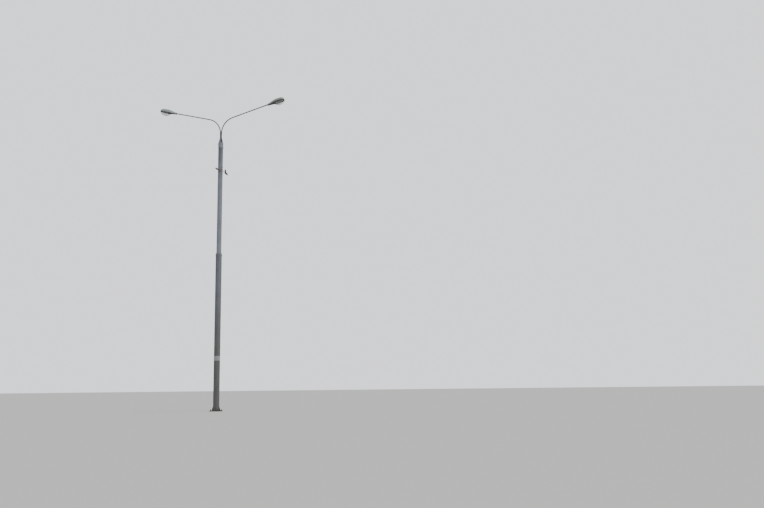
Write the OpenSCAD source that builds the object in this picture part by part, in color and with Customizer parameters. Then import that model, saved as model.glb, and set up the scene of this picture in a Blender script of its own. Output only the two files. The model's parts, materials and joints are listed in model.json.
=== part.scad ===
// Twin-arm road lighting column: a stepped tubular steel column on a base flange,
// a two-arm bracket, two lanterns with hinged bowls, and the anchors of a span wire.
// Origin: centre of the base flange's underside. X runs along the arms, Y along the road.

/* [Column] */
// Height of the upper tube's top above the base flange's underside
column_h = 12000; // [11000:50:13000]
// Height of the lower tube's top
lower_top = 6885; // [6000:5:8000]
// Outside diameter of the lower tube
lower_d = 273; // [264:1:300]
// Wall of the lower tube
lower_wall = 7; // [5:0.5:10]
// Outside diameter of the upper tube
upper_d = 219; // [200:1:228]
// Wall of the upper tube
upper_wall = 6; // [4:0.5:9]
// Length of the upper tube that stands inside the lower one
plug_l = 450; // [250:10:900]
// Thickness of the ring that centres the upper tube's foot
centring_t = 20; // [10:1:40]

/* [Shoulder] */
// Height of the collar round the lower tube's top
collar_h = 75; // [40:5:120]
// Wall of the collar
collar_wall = 5; // [3:0.5:8]
// Height of the cone above the collar
cone_h = 75; // [40:5:140]
// Wall that the cone keeps at its top edge
cone_lip = 4; // [2:0.5:8]

/* [Base] */
// Width of the square base flange
flange_w = 450; // [420:5:560]
// Thickness of the base flange
flange_t = 25; // [16:1:40]
// Radius of the flange's corners
flange_corner_r = 30; // [10:1:45]
// Distance between anchor bolt holes
bolt_spacing = 350; // [330:5:380]
// Diameter of the anchor bolt holes
bolt_hole_d = 33; // [22:1:42]
// Diameter of the drain holes inside the tube's foot
drain_d = 35; // [20:1:50]
// Height of the ribs on the flange
rib_h = 190; // [100:5:300]
// Thickness of the ribs
rib_t = 12; // [8:1:20]
// Width of the small lands at a rib's ends
rib_land = 15; // [8:1:25]

/* [Number plate] */
// Height of the plate's middle above the flange's underside
plate_z = 2285; // [1500:5:3000]
// Height of the plate
plate_h = 200; // [120:5:300]
// Thickness of the plate
plate_t = 2; // [1:0.5:4]
// Angle that the plate wraps round the tube
plate_angle = 150; // [60:5:170]
// Direction that the plate faces, from straight ahead towards the right arm
plate_turn = 25; // [0:1:45]

/* [Bracket head] */
// Height of the sleeve over the column's top
sleeve_h = 240; // [150:5:320]
// Wall of the sleeve
sleeve_wall = 5; // [3:0.5:8]
// Play between the sleeve and the upper tube
sleeve_play = 1.5; // [0.5:0.1:3]
// Thickness of the cap plate
cap_t = 12; // [8:1:20]
// Height of the head gussets
head_gusset_h = 240; // [150:5:350]
// Thickness of the head gussets
head_gusset_t = 8; // [5:0.5:12]

/* [Arms] */
// Outside diameter of the arm tubes
arm_d = 48; // [42:1:54]
// Wall of the arm tubes
arm_wall = 3.5; // [2.5:0.5:5]
// Upright length of the arms above the cap plate
arm_stem = 443; // [360:1:700]
// Bend radius of the arms, to the tube's centreline
bend_r = 730; // [400:10:900]
// Rise of the straight run above level, in degrees
arm_rise = 14.6; // [5:0.2:25]
// Length of the straight run, with the end that is inside the lantern
arm_run = 1846; // [1200:2:2500]

/* [Lantern body] */
// Length of the lantern
lantern_l = 824; // [780:2:900]
// Largest width of the canopy
canopy_w = 350; // [320:2:400]
// Width of the canopy at its neck
neck_w = 92; // [86:1:110]
// Height of the canopy above its lower edge
canopy_h = 145; // [140:1:200]
// Height of the canopy's neck above its lower edge
neck_h = 64; // [62:1:80]
// Wall of the canopy
canopy_t = 3; // [2:0.5:4]
// Drop of the canopy's lower edge below the arm's centreline
edge_drop = 22; // [18:0.5:22]
// Height of the base casting's rim
rim_h = 18; // [15:0.5:24]
// Thickness of the base casting's ledge round the lamp opening
ledge_t = 10; // [8:0.5:12]
// Thickness of the floor behind the ledge
floor_t = 4; // [3:0.5:6]
// Length of the arm that is inside the lantern
spigot_in = 110; // [90:5:150]

/* [Lamp and reflector] */
// Diameter of the lampholder
holder_d = 54; // [50:1:58]
// Length of the lampholder
holder_l = 60; // [50:1:70]
// Diameter of the lamp's bulb
bulb_d = 47; // [40:1:50]
// Length of the lamp's bulb in front of the lampholder
bulb_l = 245; // [180:5:270]
// Height of the lamp's centreline above the arm's centreline
lamp_up = 5; // [4:0.5:8]
// Height of the reflector
reflector_h = 105; // [95:1:112]
// Wall of the reflector
reflector_t = 2; // [1.5:0.5:3]

/* [Bowl] */
// Length of the bowl's opening
bowl_l = 444; // [420:2:448]
// Distance of the bowl's opening from the lantern's tip
bowl_tip_gap = 20; // [18:1:30]
// Distance of the bowl's opening from the lantern's widest sides
bowl_side_gap = 27; // [26:0.5:36]
// Depth of the glass below its seat
bowl_depth = 145; // [110:1:180]
// Wall of the glass
glass_t = 4; // [3:0.5:6]
// Height of the hinged frame
frame_h = 18; // [14:0.5:22]
// Diameter of the hinge rod
rod_d = 8; // [6:0.5:10]

/* [Span wire anchors] */
// Distance of the near anchor bracket below the upper tube's top
anchor_drop = 1295; // [800:5:2000]
// Turn of the wire's line from square to the arms, in degrees
anchor_turn = 5.3; // [-20:0.1:20]
// Height of an anchor bracket's saddle
saddle_h = 150; // [130:5:200]
// Thickness of the saddle
saddle_t = 5; // [3:0.5:8]
// Width of the steel bands
band_w = 20; // [12:1:25]
// Thickness of the steel bands
band_t = 1; // [0.8:0.1:1.5]
// Reach of the eye from the column's centreline
eye_reach = 172; // [160:1:200]
// Diameter of the eye
eye_d = 22; // [20:1:26]
// Diameter of the bail's rod
bail_d = 11; // [6:0.5:12]
// Length of the near bail's legs
near_bail_l = 160; // [120:5:220]
// Length of the far bail's legs
far_bail_l = 490; // [300:5:560]
// Length of the near clamp's body
near_clamp_l = 270; // [200:5:320]
// Length of the far clamp's body
far_clamp_l = 310; // [240:5:400]
// Length of the far clamp's grip
grip_l = 165; // [120:5:220]
// Lean of the grip towards the column, in degrees
grip_lean = 20; // [5:1:35]
// Diameter of the wire's channel in the clamps
wire_d = 18; // [12:1:20]
// Fall of the near wire clamp below level, in degrees
near_fall = 2; // [0:0.5:10]
// Fall of the far wire clamp below level, in degrees
far_fall = 4; // [0:0.5:10]

/* [Hidden] */
$fn = 96;

// Play between a piece and the round seat that it is welded or clamped to
seat = 0.3;
// Radial play of the hinge rod in its bores
hinge_play = 0.1;
// Play between the closed bowl frame and the base casting
frame_play = 1;
// Overshoot of a cut past the face that it opens
cut = 1;

// Distance of the drain holes from the tube's wall
drain_edge = 8;
// Step that the dressed welds leave at the ends of an arm's bend
weld_step = 0.2;
// Length over which a bend is welded onto the straight tube
weld_lap = 5;

// Distance of the bowl's hinge from the opening for the bowl
hinge_back = 26;

lower_r = lower_d / 2;
lower_in_r = lower_r - lower_wall;
upper_r = upper_d / 2;
upper_foot = lower_top - plug_l;
collar_r = lower_r + seat + collar_wall;

sleeve_in_r = upper_r + sleeve_play;
sleeve_r = sleeve_in_r + sleeve_wall;
cap_top = column_h + cap_t;

arm_r = arm_d / 2;
arm_x = arm_r + weld_step + seat / 2;
bend_z = cap_top + arm_stem;
bend_end_x = arm_x + bend_r * (1 - sin(arm_rise));
bend_end_z = bend_z + bend_r * cos(arm_rise);
neck_run = arm_run - spigot_in;
neck_x = bend_end_x + neck_run * cos(arm_rise);
neck_z = bend_end_z + neck_run * sin(arm_rise);

anchor_z = column_h - anchor_drop;

bowl_w = canopy_w - 2 * bowl_side_gap;
bowl_mid_u = lantern_l - bowl_tip_gap - bowl_l / 2;
hinge_u = bowl_mid_u - bowl_l / 2 - hinge_back;

// Heights in the lantern, counted from the arm's centreline
edge_w = -edge_drop;
base_w = edge_w - rim_h;
ledge_w = base_w + ledge_t;
floor_w = base_w + floor_t;
frame_top_w = base_w - frame_play;
frame_low_w = frame_top_w - frame_h;
hinge_r = rod_d / 2 + 5;
hinge_w = frame_low_w - rod_d / 2 - 1;

// Shape of the canopy: where it is widest and highest, and how blunt its tip is
wide_at = 0.66;
high_at = 0.55;
tip_blunt_w = 2.8;
tip_blunt_h = 3.5;
arch_power = 2.3;
tip_turn = 87;
canopy_side_stations = 10;
canopy_tip_stations = 9;
arch_steps = 20;
rim_proud = 1.5;
rim_wall = 4;

function signed_pow(x, p) = sign(x) * pow(abs(x), p);
function ease(s) = s * s * (3 - 2 * s);
function blunt(q, p) = pow(max(0, 1 - pow(max(0, q), p)), 1 / p);

// Half width and height of the canopy at distance u from its neck
function canopy_half(u) =
    let (t = u / lantern_l)
    t < wide_at
        ? neck_w / 2 + (canopy_w - neck_w) / 2 * ease(max(0, t) / wide_at)
        : canopy_w / 2 * blunt((t - wide_at) / (1 - wide_at), tip_blunt_w);
function canopy_rise(u) =
    let (t = u / lantern_l)
    t < high_at
        ? neck_h + (canopy_h - neck_h) * ease(max(0, t) / high_at)
        : canopy_h * blunt((t - high_at) / (1 - high_at), tip_blunt_h);

// Distances along the lantern from u0 to its tip, closer together where the tip turns in
function stations(u0) =
    let (u1 = wide_at * lantern_l, tip = lantern_l - u1)
    concat(
        [for (i = [0 : canopy_side_stations - 1]) u0 + (u1 - u0) * i / canopy_side_stations],
        [for (i = [0 : canopy_tip_stations]) u1 + tip * sin(tip_turn * i / canopy_tip_stations)]
    );

// Plan outline of the lantern from u0 to the tip, grown sideways and at the tip
function outline(u0, grow) =
    let (us = stations(u0), last = len(us) - 1)
    concat(
        [for (i = [0 : last]) [us[i] + (i == last ? grow : 0), canopy_half(us[i]) + grow]],
        [for (i = [last : -1 : 0]) [us[i] + (i == last ? grow : 0), -canopy_half(us[i]) - grow]]
    );

// Arch from the +Y foot over the top to the -Y foot
function arch(half, rise) =
    [for (j = [0 : arch_steps])
        let (a = 180 * j / arch_steps)
        [half * signed_pow(cos(a), 2 / arch_power), rise * pow(max(0, sin(a)), 2 / arch_power)]];

// Oval with blunt ends, the plan shape of the bowl
oval_power = 2.6;
oval_steps = 40;
function oval(half_l, half_w) =
    [for (k = [0 : oval_steps - 1])
        let (a = 360 * k / oval_steps)
        [
            bowl_mid_u + half_l * signed_pow(cos(a), 2 / oval_power),
            half_w * signed_pow(sin(a), 2 / oval_power)
        ]];

// Places a lantern's own axes, x outward along the arm and z up, at one end of the arms
module at_lantern(side) {
    rotate([0, 0, side < 0 ? 180 : 0])
        translate([neck_x, 0, neck_z])
            rotate([0, -arm_rise, 0])
                children();
}

module ring(r_out, r_in, h) {
    difference() {
        cylinder(r = r_out, h = h);
        translate([0, 0, -cut]) cylinder(r = r_in, h = h + 2 * cut);
    }
}

// Closed skin over arches that stand along x: open below and at its first arch
module arch_shell(us, halves, rises, wall, low) {
    last = len(us) - 1;
    width = arch_steps + 1;
    count = (last + 1) * width;
    outer = [for (i = [0 : last]) for (p = arch(halves[i], rises[i])) [us[i], p[0], low + p[1]]];
    inner = [for (i = [0 : last]) for (p = arch(halves[i] - wall, rises[i] - wall))
        [us[i] - (i == last ? wall : 0), p[0], low + p[1]]];
    function o(i, j) = i * width + j;
    function n(i, j) = count + i * width + j;
    faces = concat(
        [for (i = [0 : last - 1]) for (j = [0 : arch_steps - 1]) each [
            [o(i, j), o(i + 1, j), o(i + 1, j + 1)],
            [o(i, j), o(i + 1, j + 1), o(i, j + 1)],
            [n(i, j), n(i + 1, j + 1), n(i + 1, j)],
            [n(i, j), n(i, j + 1), n(i + 1, j + 1)]
        ]],
        [for (j = [0 : arch_steps - 1]) [o(0, j), o(0, j + 1), n(0, j + 1), n(0, j)]],
        [for (i = [0 : last - 1]) each [
            [o(i, 0), n(i, 0), n(i + 1, 0), o(i + 1, 0)],
            [n(i, arch_steps), o(i, arch_steps), o(i + 1, arch_steps), n(i + 1, arch_steps)]
        ]],
        [
            [for (j = [arch_steps : -1 : 0]) o(last, j)],
            [for (j = [0 : arch_steps]) n(last, j)],
            [o(last, arch_steps), o(last, 0), n(last, 0), n(last, arch_steps)]
        ]
    );
    polyhedron(points = concat(outer, inner), faces = faces, convexity = 6);
}

module base_flange() {
    inset = flange_w / 2 - flange_corner_r;
    color("slategray")
        difference() {
            union() {
                translate([-flange_w / 2, -inset, 0]) cube([flange_w, 2 * inset, flange_t]);
                translate([-inset, -flange_w / 2, 0]) cube([2 * inset, flange_w, flange_t]);
                for (x = [-inset, inset]) for (y = [-inset, inset])
                    translate([x, y, 0]) cylinder(r = flange_corner_r, h = flange_t);
            }
            for (a = [0 : 90 : 270])
                rotate([0, 0, a])
                    translate([lower_in_r - drain_d / 2 - drain_edge, 0, -cut])
                        cylinder(d = drain_d, h = flange_t + 2 * cut);
            for (x = [-1, 1]) for (y = [-1, 1])
                translate([x * bolt_spacing / 2, y * bolt_spacing / 2, -cut])
                    cylinder(d = bolt_hole_d, h = flange_t + 2 * cut);
        }
}

module base_ribs() {
    foot = flange_w / 2 - lower_r - rib_land;
    color("slategray")
        for (a = [0 : 90 : 270])
            rotate([0, 0, a])
                translate([lower_r + seat, rib_t / 2, flange_t])
                    rotate([90, 0, 0])
                        linear_extrude(rib_t)
                            polygon([
                                [0, 0], [foot, 0], [foot, rib_land],
                                [rib_land, rib_h], [0, rib_h]
                            ]);
}

module lower_tube() {
    color("slategray")
        translate([0, 0, flange_t])
            ring(lower_r, lower_in_r, lower_top - flange_t);
}

module shoulder_collar() {
    color("dimgray")
        translate([0, 0, lower_top - collar_h])
            ring(collar_r, lower_r + seat, collar_h);
}

module shoulder_cone() {
    color("slategray")
        translate([0, 0, lower_top])
            rotate_extrude()
                polygon([
                    [upper_r + seat, 0], [collar_r, 0],
                    [upper_r + seat + cone_lip, cone_h], [upper_r + seat, cone_h]
                ]);
}

// The upper tube, with the ring round its foot that centres it in the lower tube
module upper_tube() {
    color("slategray") {
        translate([0, 0, upper_foot])
            ring(upper_r, upper_r - upper_wall, column_h - upper_foot);
        translate([0, 0, upper_foot])
            ring(lower_in_r - seat, upper_r - cut, centring_t);
    }
}

module number_plate() {
    in_r = lower_r + seat;
    edge_x = 2 * in_r * sin(plate_angle / 2);
    edge_y = -2 * in_r * cos(plate_angle / 2);
    color("lightgray")
        rotate([0, 0, plate_turn])
            intersection() {
                translate([0, 0, plate_z - plate_h / 2]) ring(in_r + plate_t, in_r, plate_h);
                translate([0, 0, plate_z - plate_h / 2 - cut])
                    linear_extrude(plate_h + 2 * cut)
                        polygon([
                            [0, 0], [-edge_x, edge_y],
                            [-edge_x, -2 * in_r], [edge_x, -2 * in_r], [edge_x, edge_y]
                        ]);
            }
}

module head_sleeve() {
    color("lightslategray")
        translate([0, 0, column_h - sleeve_h])
            ring(sleeve_r, sleeve_in_r, sleeve_h);
}

module head_cap() {
    color("lightslategray")
        difference() {
            translate([0, 0, column_h]) cylinder(r = sleeve_r, h = cap_t);
            for (side = [-1, 1])
                translate([side * arm_x, 0, column_h - cut])
                    cylinder(r = arm_r - arm_wall, h = cap_t + 2 * cut);
        }
}

// Four gussets: one against each arm's outer side, one in each seam between the arms
module head_gussets() {
    side_start = arm_x + arm_r + seat;
    seam_half = arm_x - head_gusset_t / 2;
    seam_start = sqrt(arm_r * arm_r - seam_half * seam_half) + seat;
    foot_end = sleeve_r - 4;
    color("lightslategray")
        for (a = [0 : 90 : 270]) {
            start = a % 180 == 0 ? side_start : seam_start;
            rotate([0, 0, a])
                translate([0, head_gusset_t / 2, cap_top])
                    rotate([90, 0, 0])
                        linear_extrude(head_gusset_t)
                            polygon([
                                [start, 0], [foot_end, 0], [foot_end, 8],
                                [start + 8, head_gusset_h], [start, head_gusset_h]
                            ]);
        }
}

module arm(side) {
    color("darkslategray")
        rotate([0, 0, side < 0 ? 180 : 0])
            translate([arm_x + bend_r, 0, bend_z])
                rotate([90, 0, 0])
                    mirror([1, 0, 0]) {
                        rotate_extrude(angle = 90 - arm_rise)
                            translate([bend_r, 0])
                                difference() {
                                    circle(r = arm_r + weld_step);
                                    circle(r = arm_r - arm_wall - weld_step);
                                }
                        translate([bend_r, weld_lap, 0])
                            rotate([90, 0, 0])
                                ring(arm_r, arm_r - arm_wall, arm_stem + weld_lap);
                        rotate([0, 0, 90 - arm_rise])
                            translate([bend_r, -weld_lap, 0])
                                rotate([-90, 0, 0])
                                    ring(arm_r, arm_r - arm_wall, arm_run + weld_lap);
                    }
}

saddle_w = 96;
saddle_r = upper_r + seat + saddle_t;
band_z = saddle_h / 2 - band_w;
far_anchor_z = anchor_z + 2 * band_z;
strap_steps = 14;

function on_circle(r, from, to, steps) =
    [for (i = [0 : steps]) let (a = from + (to - from) * i / steps) r * [cos(a), sin(a)]];

// Half the outline of a strap, round the column and over the saddle if there is one on that side
function strap_half(side, grow, saddled) =
    let (
        low_r = upper_r + seat + grow,
        high_r = saddle_r + seat + grow,
        edge_a = asin(saddle_w / 2 / saddle_r),
        foot_a = edge_a + acos(low_r / high_r) / 2,
        mid = 90 * side + anchor_turn
    )
    saddled
        ? concat(
            on_circle(low_r, mid - 88, mid - foot_a, strap_steps),
            on_circle(high_r, mid - edge_a, mid + edge_a, strap_steps),
            on_circle(low_r, mid + foot_a, mid + 88, strap_steps)
        )
        : on_circle(low_r, mid - 88, mid + 88, 3 * strap_steps);

module strap_block(grow, h, near, far) {
    linear_extrude(h) polygon(concat(strap_half(-1, grow, near), strap_half(1, grow, far)));
}

// The lowest strap holds the near saddle, the highest the far one, the middle one both
module anchor_bands() {
    buckle = [8, 34, band_w + 8];
    straps = [
        [anchor_z - band_z, true, false], [anchor_z + band_z, true, true],
        [far_anchor_z + band_z, false, true]
    ];
    color("peru")
        for (strap = straps)
            translate([0, 0, strap[0] - band_w / 2]) {
                difference() {
                    strap_block(band_t, band_w, strap[1], strap[2]);
                    translate([0, 0, -cut]) strap_block(0, band_w + 2 * cut, strap[1], strap[2]);
                }
                translate([upper_r + seat + band_t / 2, -buckle[1] / 2, (band_w - buckle[2]) / 2])
                    cube(buckle);
            }
}

// Places an anchor's own axes, x away from the column: -1 the near anchor, 1 the far one
module at_anchor(side) {
    translate([0, 0, side < 0 ? anchor_z : far_anchor_z])
        rotate([0, 0, 90 * side + anchor_turn])
            children();
}

module anchor_bracket(side) {
    lug_root = 66;
    lug_end = eye_d / 2 + 12;
    color("sienna")
        at_anchor(side)
            difference() {
                union() {
                    intersection() {
                        translate([0, 0, -saddle_h / 2]) cylinder(r = saddle_r, h = saddle_h);
                        translate([0, -saddle_w / 2, -saddle_h / 2]) cube([upper_d, saddle_w, saddle_h]);
                    }
                    translate([0, lug_t / 2, 0])
                        rotate([90, 0, 0])
                            linear_extrude(lug_t)
                                polygon([
                                    [upper_r, -lug_root / 2], [eye_reach, -lug_end],
                                    [eye_reach, lug_end], [upper_r, lug_root / 2]
                                ]);
                    translate([eye_reach, lug_t / 2, 0]) rotate([90, 0, 0]) cylinder(r = lug_end, h = lug_t);
                }
                translate([0, 0, -saddle_h]) cylinder(r = upper_r + seat, h = 2 * saddle_h);
                translate([eye_reach, lug_t, 0]) rotate([90, 0, 0]) cylinder(d = eye_d, h = 2 * lug_t);
            }
}

// Turns what hangs in an anchor's eye down to the wire's fall
module in_eye(side) {
    at_anchor(side)
        translate([eye_reach, 0, 0])
            rotate([0, side < 0 ? near_fall : far_fall, 0])
                children();
}

bail_bend_r = 18;
bail_r = bail_d / 2;
lug_t = 12;
bail_sag = bail_bend_r - sqrt(bail_bend_r * bail_bend_r - lug_t * lug_t / 4);
bail_start = eye_d / 2 - bail_r - bail_sag - seat;
leg_grip = 25;
function clamp_start(legs) = bail_start + bail_bend_r + legs - leg_grip;

module clamp_bail(side, legs) {
    color("silver")
        in_eye(side)
            translate([bail_start + bail_bend_r, 0, 0]) {
                rotate([0, 0, 90])
                    rotate_extrude(angle = 180)
                        translate([bail_bend_r, 0]) circle(r = bail_r);
                for (y = [-bail_bend_r, bail_bend_r])
                    translate([0, y, 0]) rotate([0, 90, 0]) cylinder(r = bail_r, h = legs);
            }
}

clamp_rear = [70, 54];
clamp_nose = [44, 38];

// Clamp body along x from its rear face, tapered in width and in height
module clamp_wedge(l) {
    intersection() {
        translate([0, clamp_rear[0], 0])
            rotate([90, 0, 0])
                linear_extrude(2 * clamp_rear[0])
                    polygon([
                        [0, -clamp_rear[1] / 2], [l, -clamp_nose[1] / 2],
                        [l, clamp_nose[1] / 2], [0, clamp_rear[1] / 2]
                    ]);
        translate([0, 0, -clamp_rear[1]])
            linear_extrude(2 * clamp_rear[1])
                polygon([
                    [0, -clamp_rear[0] / 2], [l, -clamp_nose[0] / 2],
                    [l, clamp_nose[0] / 2], [0, clamp_rear[0] / 2]
                ]);
    }
}

// The bail's legs in the clamp's rear
module leg_holes() {
    for (y = [-bail_bend_r, bail_bend_r])
        translate([-cut, y, 0])
            rotate([0, 90, 0])
                cylinder(r = bail_r + seat, h = leg_grip + seat + cut);
}

module near_clamp() {
    color("dimgray")
        in_eye(-1)
            translate([clamp_start(near_bail_l), 0, 0])
                difference() {
                    clamp_wedge(near_clamp_l);
                    translate([-cut, 0, 0])
                        rotate([0, 90, 0]) cylinder(d = wire_d, h = near_clamp_l + 2 * cut);
                    leg_holes();
                }
}

// Clamp whose channel turns up into a grip, so that the wire's tail stands out of its top
module far_clamp() {
    turn_u = leg_grip + 4 + wire_d / 2;
    grip_w = 50;
    grip_half = 20;
    tail_d = wire_d - 2;
    top = [turn_u - grip_l * sin(grip_lean), grip_l * cos(grip_lean)];
    across = [cos(grip_lean), sin(grip_lean)] * grip_half;
    color("dimgray")
        in_eye(1)
            translate([clamp_start(far_bail_l), 0, 0])
                difference() {
                    union() {
                        clamp_wedge(far_clamp_l);
                        translate([0, grip_w / 2, 0])
                            rotate([90, 0, 0])
                                linear_extrude(grip_w)
                                    polygon([[3, 0], [turn_u + 2 * grip_half, 0], top + across, top - across]);
                    }
                    translate([turn_u - wire_d / 2, 0, 0])
                        rotate([0, 90, 0]) cylinder(d = wire_d, h = far_clamp_l);
                    translate([turn_u, 0, 0])
                        rotate([0, -grip_lean, 0]) cylinder(d = tail_d, h = grip_l + cut);
                    leg_holes();
                }
}

module canopy(side) {
    us = stations(0);
    color("darkseagreen")
        at_lantern(side)
            arch_shell(
                us,
                [for (u = us) canopy_half(u)],
                [for (u = us) canopy_rise(u)],
                canopy_t,
                edge_w
            );
}

hinge_lug_y = 72;
hinge_lug_t = 12;
hinge_ear_t = 12;
hinge_side_play = 2;

// One lug of the hinge: a block down to the rod with a round end
module hinge_lug(y, t, u0, u1, top_w) {
    for (flip = [-1, 1])
        translate([0, flip * (y + t / 2) - t / 2, 0])
            difference() {
                union() {
                    translate([u0, 0, hinge_w]) cube([u1 - u0, t, top_w - hinge_w]);
                    translate([hinge_u, t, hinge_w]) rotate([90, 0, 0]) cylinder(r = hinge_r, h = t);
                }
                translate([hinge_u, t + cut, hinge_w])
                    rotate([90, 0, 0])
                        cylinder(r = rod_d / 2 + hinge_play, h = t + 2 * cut);
            }
}

cradle_w = 64;
cradle_top = -8;

// The casting that everything in the lantern is fixed to
module lantern_base(side) {
    cradle_l = spigot_in - 20;
    pocket_end = hinge_u - 10;
    color("dimgray")
        at_lantern(side) {
            difference() {
                union() {
                    difference() {
                        translate([0, 0, base_w])
                            linear_extrude(rim_h) polygon(outline(0, rim_proud));
                        translate([0, 0, ledge_w])
                            linear_extrude(rim_h) polygon(outline(-cut, -rim_wall));
                        intersection() {
                            translate([0, 0, floor_w])
                                linear_extrude(rim_h) polygon(outline(15, -rim_wall));
                            translate([0, -canopy_w, base_w]) cube([pocket_end, 2 * canopy_w, 2 * rim_h]);
                        }
                        translate([0, 0, base_w - cut])
                            linear_extrude(rim_h + 2 * cut) polygon(oval(bowl_l / 2, bowl_w / 2));
                    }
                    translate([15, -cradle_w / 2, floor_w])
                        cube([cradle_l, cradle_w, cradle_top - floor_w]);
                }
                translate([-cut, 0, 0])
                    rotate([0, 90, 0]) cylinder(r = arm_r + seat, h = spigot_in + 2 * cut);
            }
            hinge_lug(hinge_lug_y, hinge_lug_t, hinge_u - 7, hinge_u + 7, base_w);
        }
}

// Plate shaped to the canopy's inside, with straight feet down to a given height
module arch_plate(u, t, gap, low) {
    half = canopy_half(u) - gap;
    points = arch(half, canopy_rise(u) - canopy_t - seat);
    translate([u, 0, edge_w])
        rotate([90, 0, 90])
            linear_extrude(t)
                polygon(concat([[half, low - edge_w]], points, [[-half, low - edge_w]]));
}

module bulkhead(side) {
    color("lightgray")
        at_lantern(side)
            arch_plate(hinge_u - 8, 3, rim_wall + seat + 1, ledge_w);
}

module neck_seal(side) {
    color("black")
        at_lantern(side)
            difference() {
                arch_plate(3, 8, rim_wall + seat, ledge_w);
                translate([0, 0, 0]) rotate([0, 90, 0]) cylinder(r = arm_r + seat, h = 20);
            }
}

module spigot_clamp(side) {
    clamp_u = 35;
    clamp_t = 7;
    long = spigot_in - clamp_u - 20;
    color("silver")
        at_lantern(side)
            translate([clamp_u, 0, 0])
                difference() {
                    union() {
                        rotate([0, 90, 0]) cylinder(r = arm_r + clamp_t, h = long);
                        translate([0, -cradle_w / 2, cradle_top]) cube([long, cradle_w, clamp_t]);
                    }
                    translate([-cut, 0, 0]) rotate([0, 90, 0]) cylinder(r = arm_r + seat, h = long + 2 * cut);
                    translate([-cut, -cradle_w, cradle_top - 2 * arm_d])
                        cube([long + 2 * cut, 2 * cradle_w, 2 * arm_d]);
                }
}

module reflector(side) {
    first = bowl_mid_u - 198;
    half_l = bowl_l / 2 + 8;
    half_w = bowl_w / 2 + 8;
    count = 12;
    a0 = asin((first - bowl_mid_u) / half_l);
    us = [for (i = [0 : count]) bowl_mid_u + half_l * sin(a0 + (tip_turn - a0) * i / count)];
    color("gainsboro")
        at_lantern(side)
            arch_shell(
                us,
                [for (u = us) half_w * blunt(abs(u - bowl_mid_u) / half_l, oval_power)],
                [for (u = us) reflector_h * blunt(abs(u - bowl_mid_u) / half_l, 3)],
                reflector_t,
                ledge_w
            );
}

holder_u = hinge_u - 5;
lamp_cap_r = 20;
lamp_cap_l = 40;

module lampholder(side) {
    color("white")
        at_lantern(side)
            translate([holder_u, 0, lamp_up])
                rotate([0, 90, 0])
                    difference() {
                        cylinder(d = holder_d, h = holder_l);
                        translate([0, 0, holder_l - lamp_cap_l]) cylinder(r = lamp_cap_r + seat, h = lamp_cap_l + cut);
                    }
}

module lamp(side) {
    bulb_r = bulb_d / 2;
    shoulder = 14;
    color("whitesmoke")
        at_lantern(side)
            translate([holder_u + holder_l - lamp_cap_l, 0, lamp_up])
                rotate([0, 90, 0]) {
                    cylinder(r = lamp_cap_r, h = lamp_cap_l + 2);
                    translate([0, 0, lamp_cap_l + 2])
                        cylinder(r1 = lamp_cap_r - 4, r2 = bulb_r, h = shoulder);
                    translate([0, 0, lamp_cap_l + 2 + shoulder]) cylinder(r = bulb_r, h = bulb_l - shoulder);
                    translate([0, 0, lamp_cap_l + 2 + bulb_l]) sphere(r = bulb_r);
                }
}

module hinge_rod(side) {
    half = hinge_lug_y + hinge_lug_t + 4;
    color("silver")
        at_lantern(side)
            translate([hinge_u, half, hinge_w])
                rotate([90, 0, 0])
                    cylinder(d = rod_d, h = 2 * half);
}

glass_seat_t = 5;
glass_lip = 7;
frame_rear_u = hinge_u + 14;

module bowl_frame(side) {
    color("black")
        at_lantern(side) {
            difference() {
                translate([0, 0, frame_low_w])
                    linear_extrude(frame_h) polygon(outline(frame_rear_u, rim_proud));
                translate([0, 0, frame_low_w - cut])
                    linear_extrude(frame_h + 2 * cut) polygon(oval(bowl_l / 2, bowl_w / 2));
                translate([0, 0, frame_top_w - glass_seat_t])
                    linear_extrude(frame_h) polygon(oval(bowl_l / 2 + glass_lip, bowl_w / 2 + glass_lip));
            }
            hinge_lug(
                hinge_lug_y - hinge_ear_t - hinge_side_play, hinge_ear_t,
                hinge_u, frame_rear_u + 2, frame_top_w - 4
            );
        }
}

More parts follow.
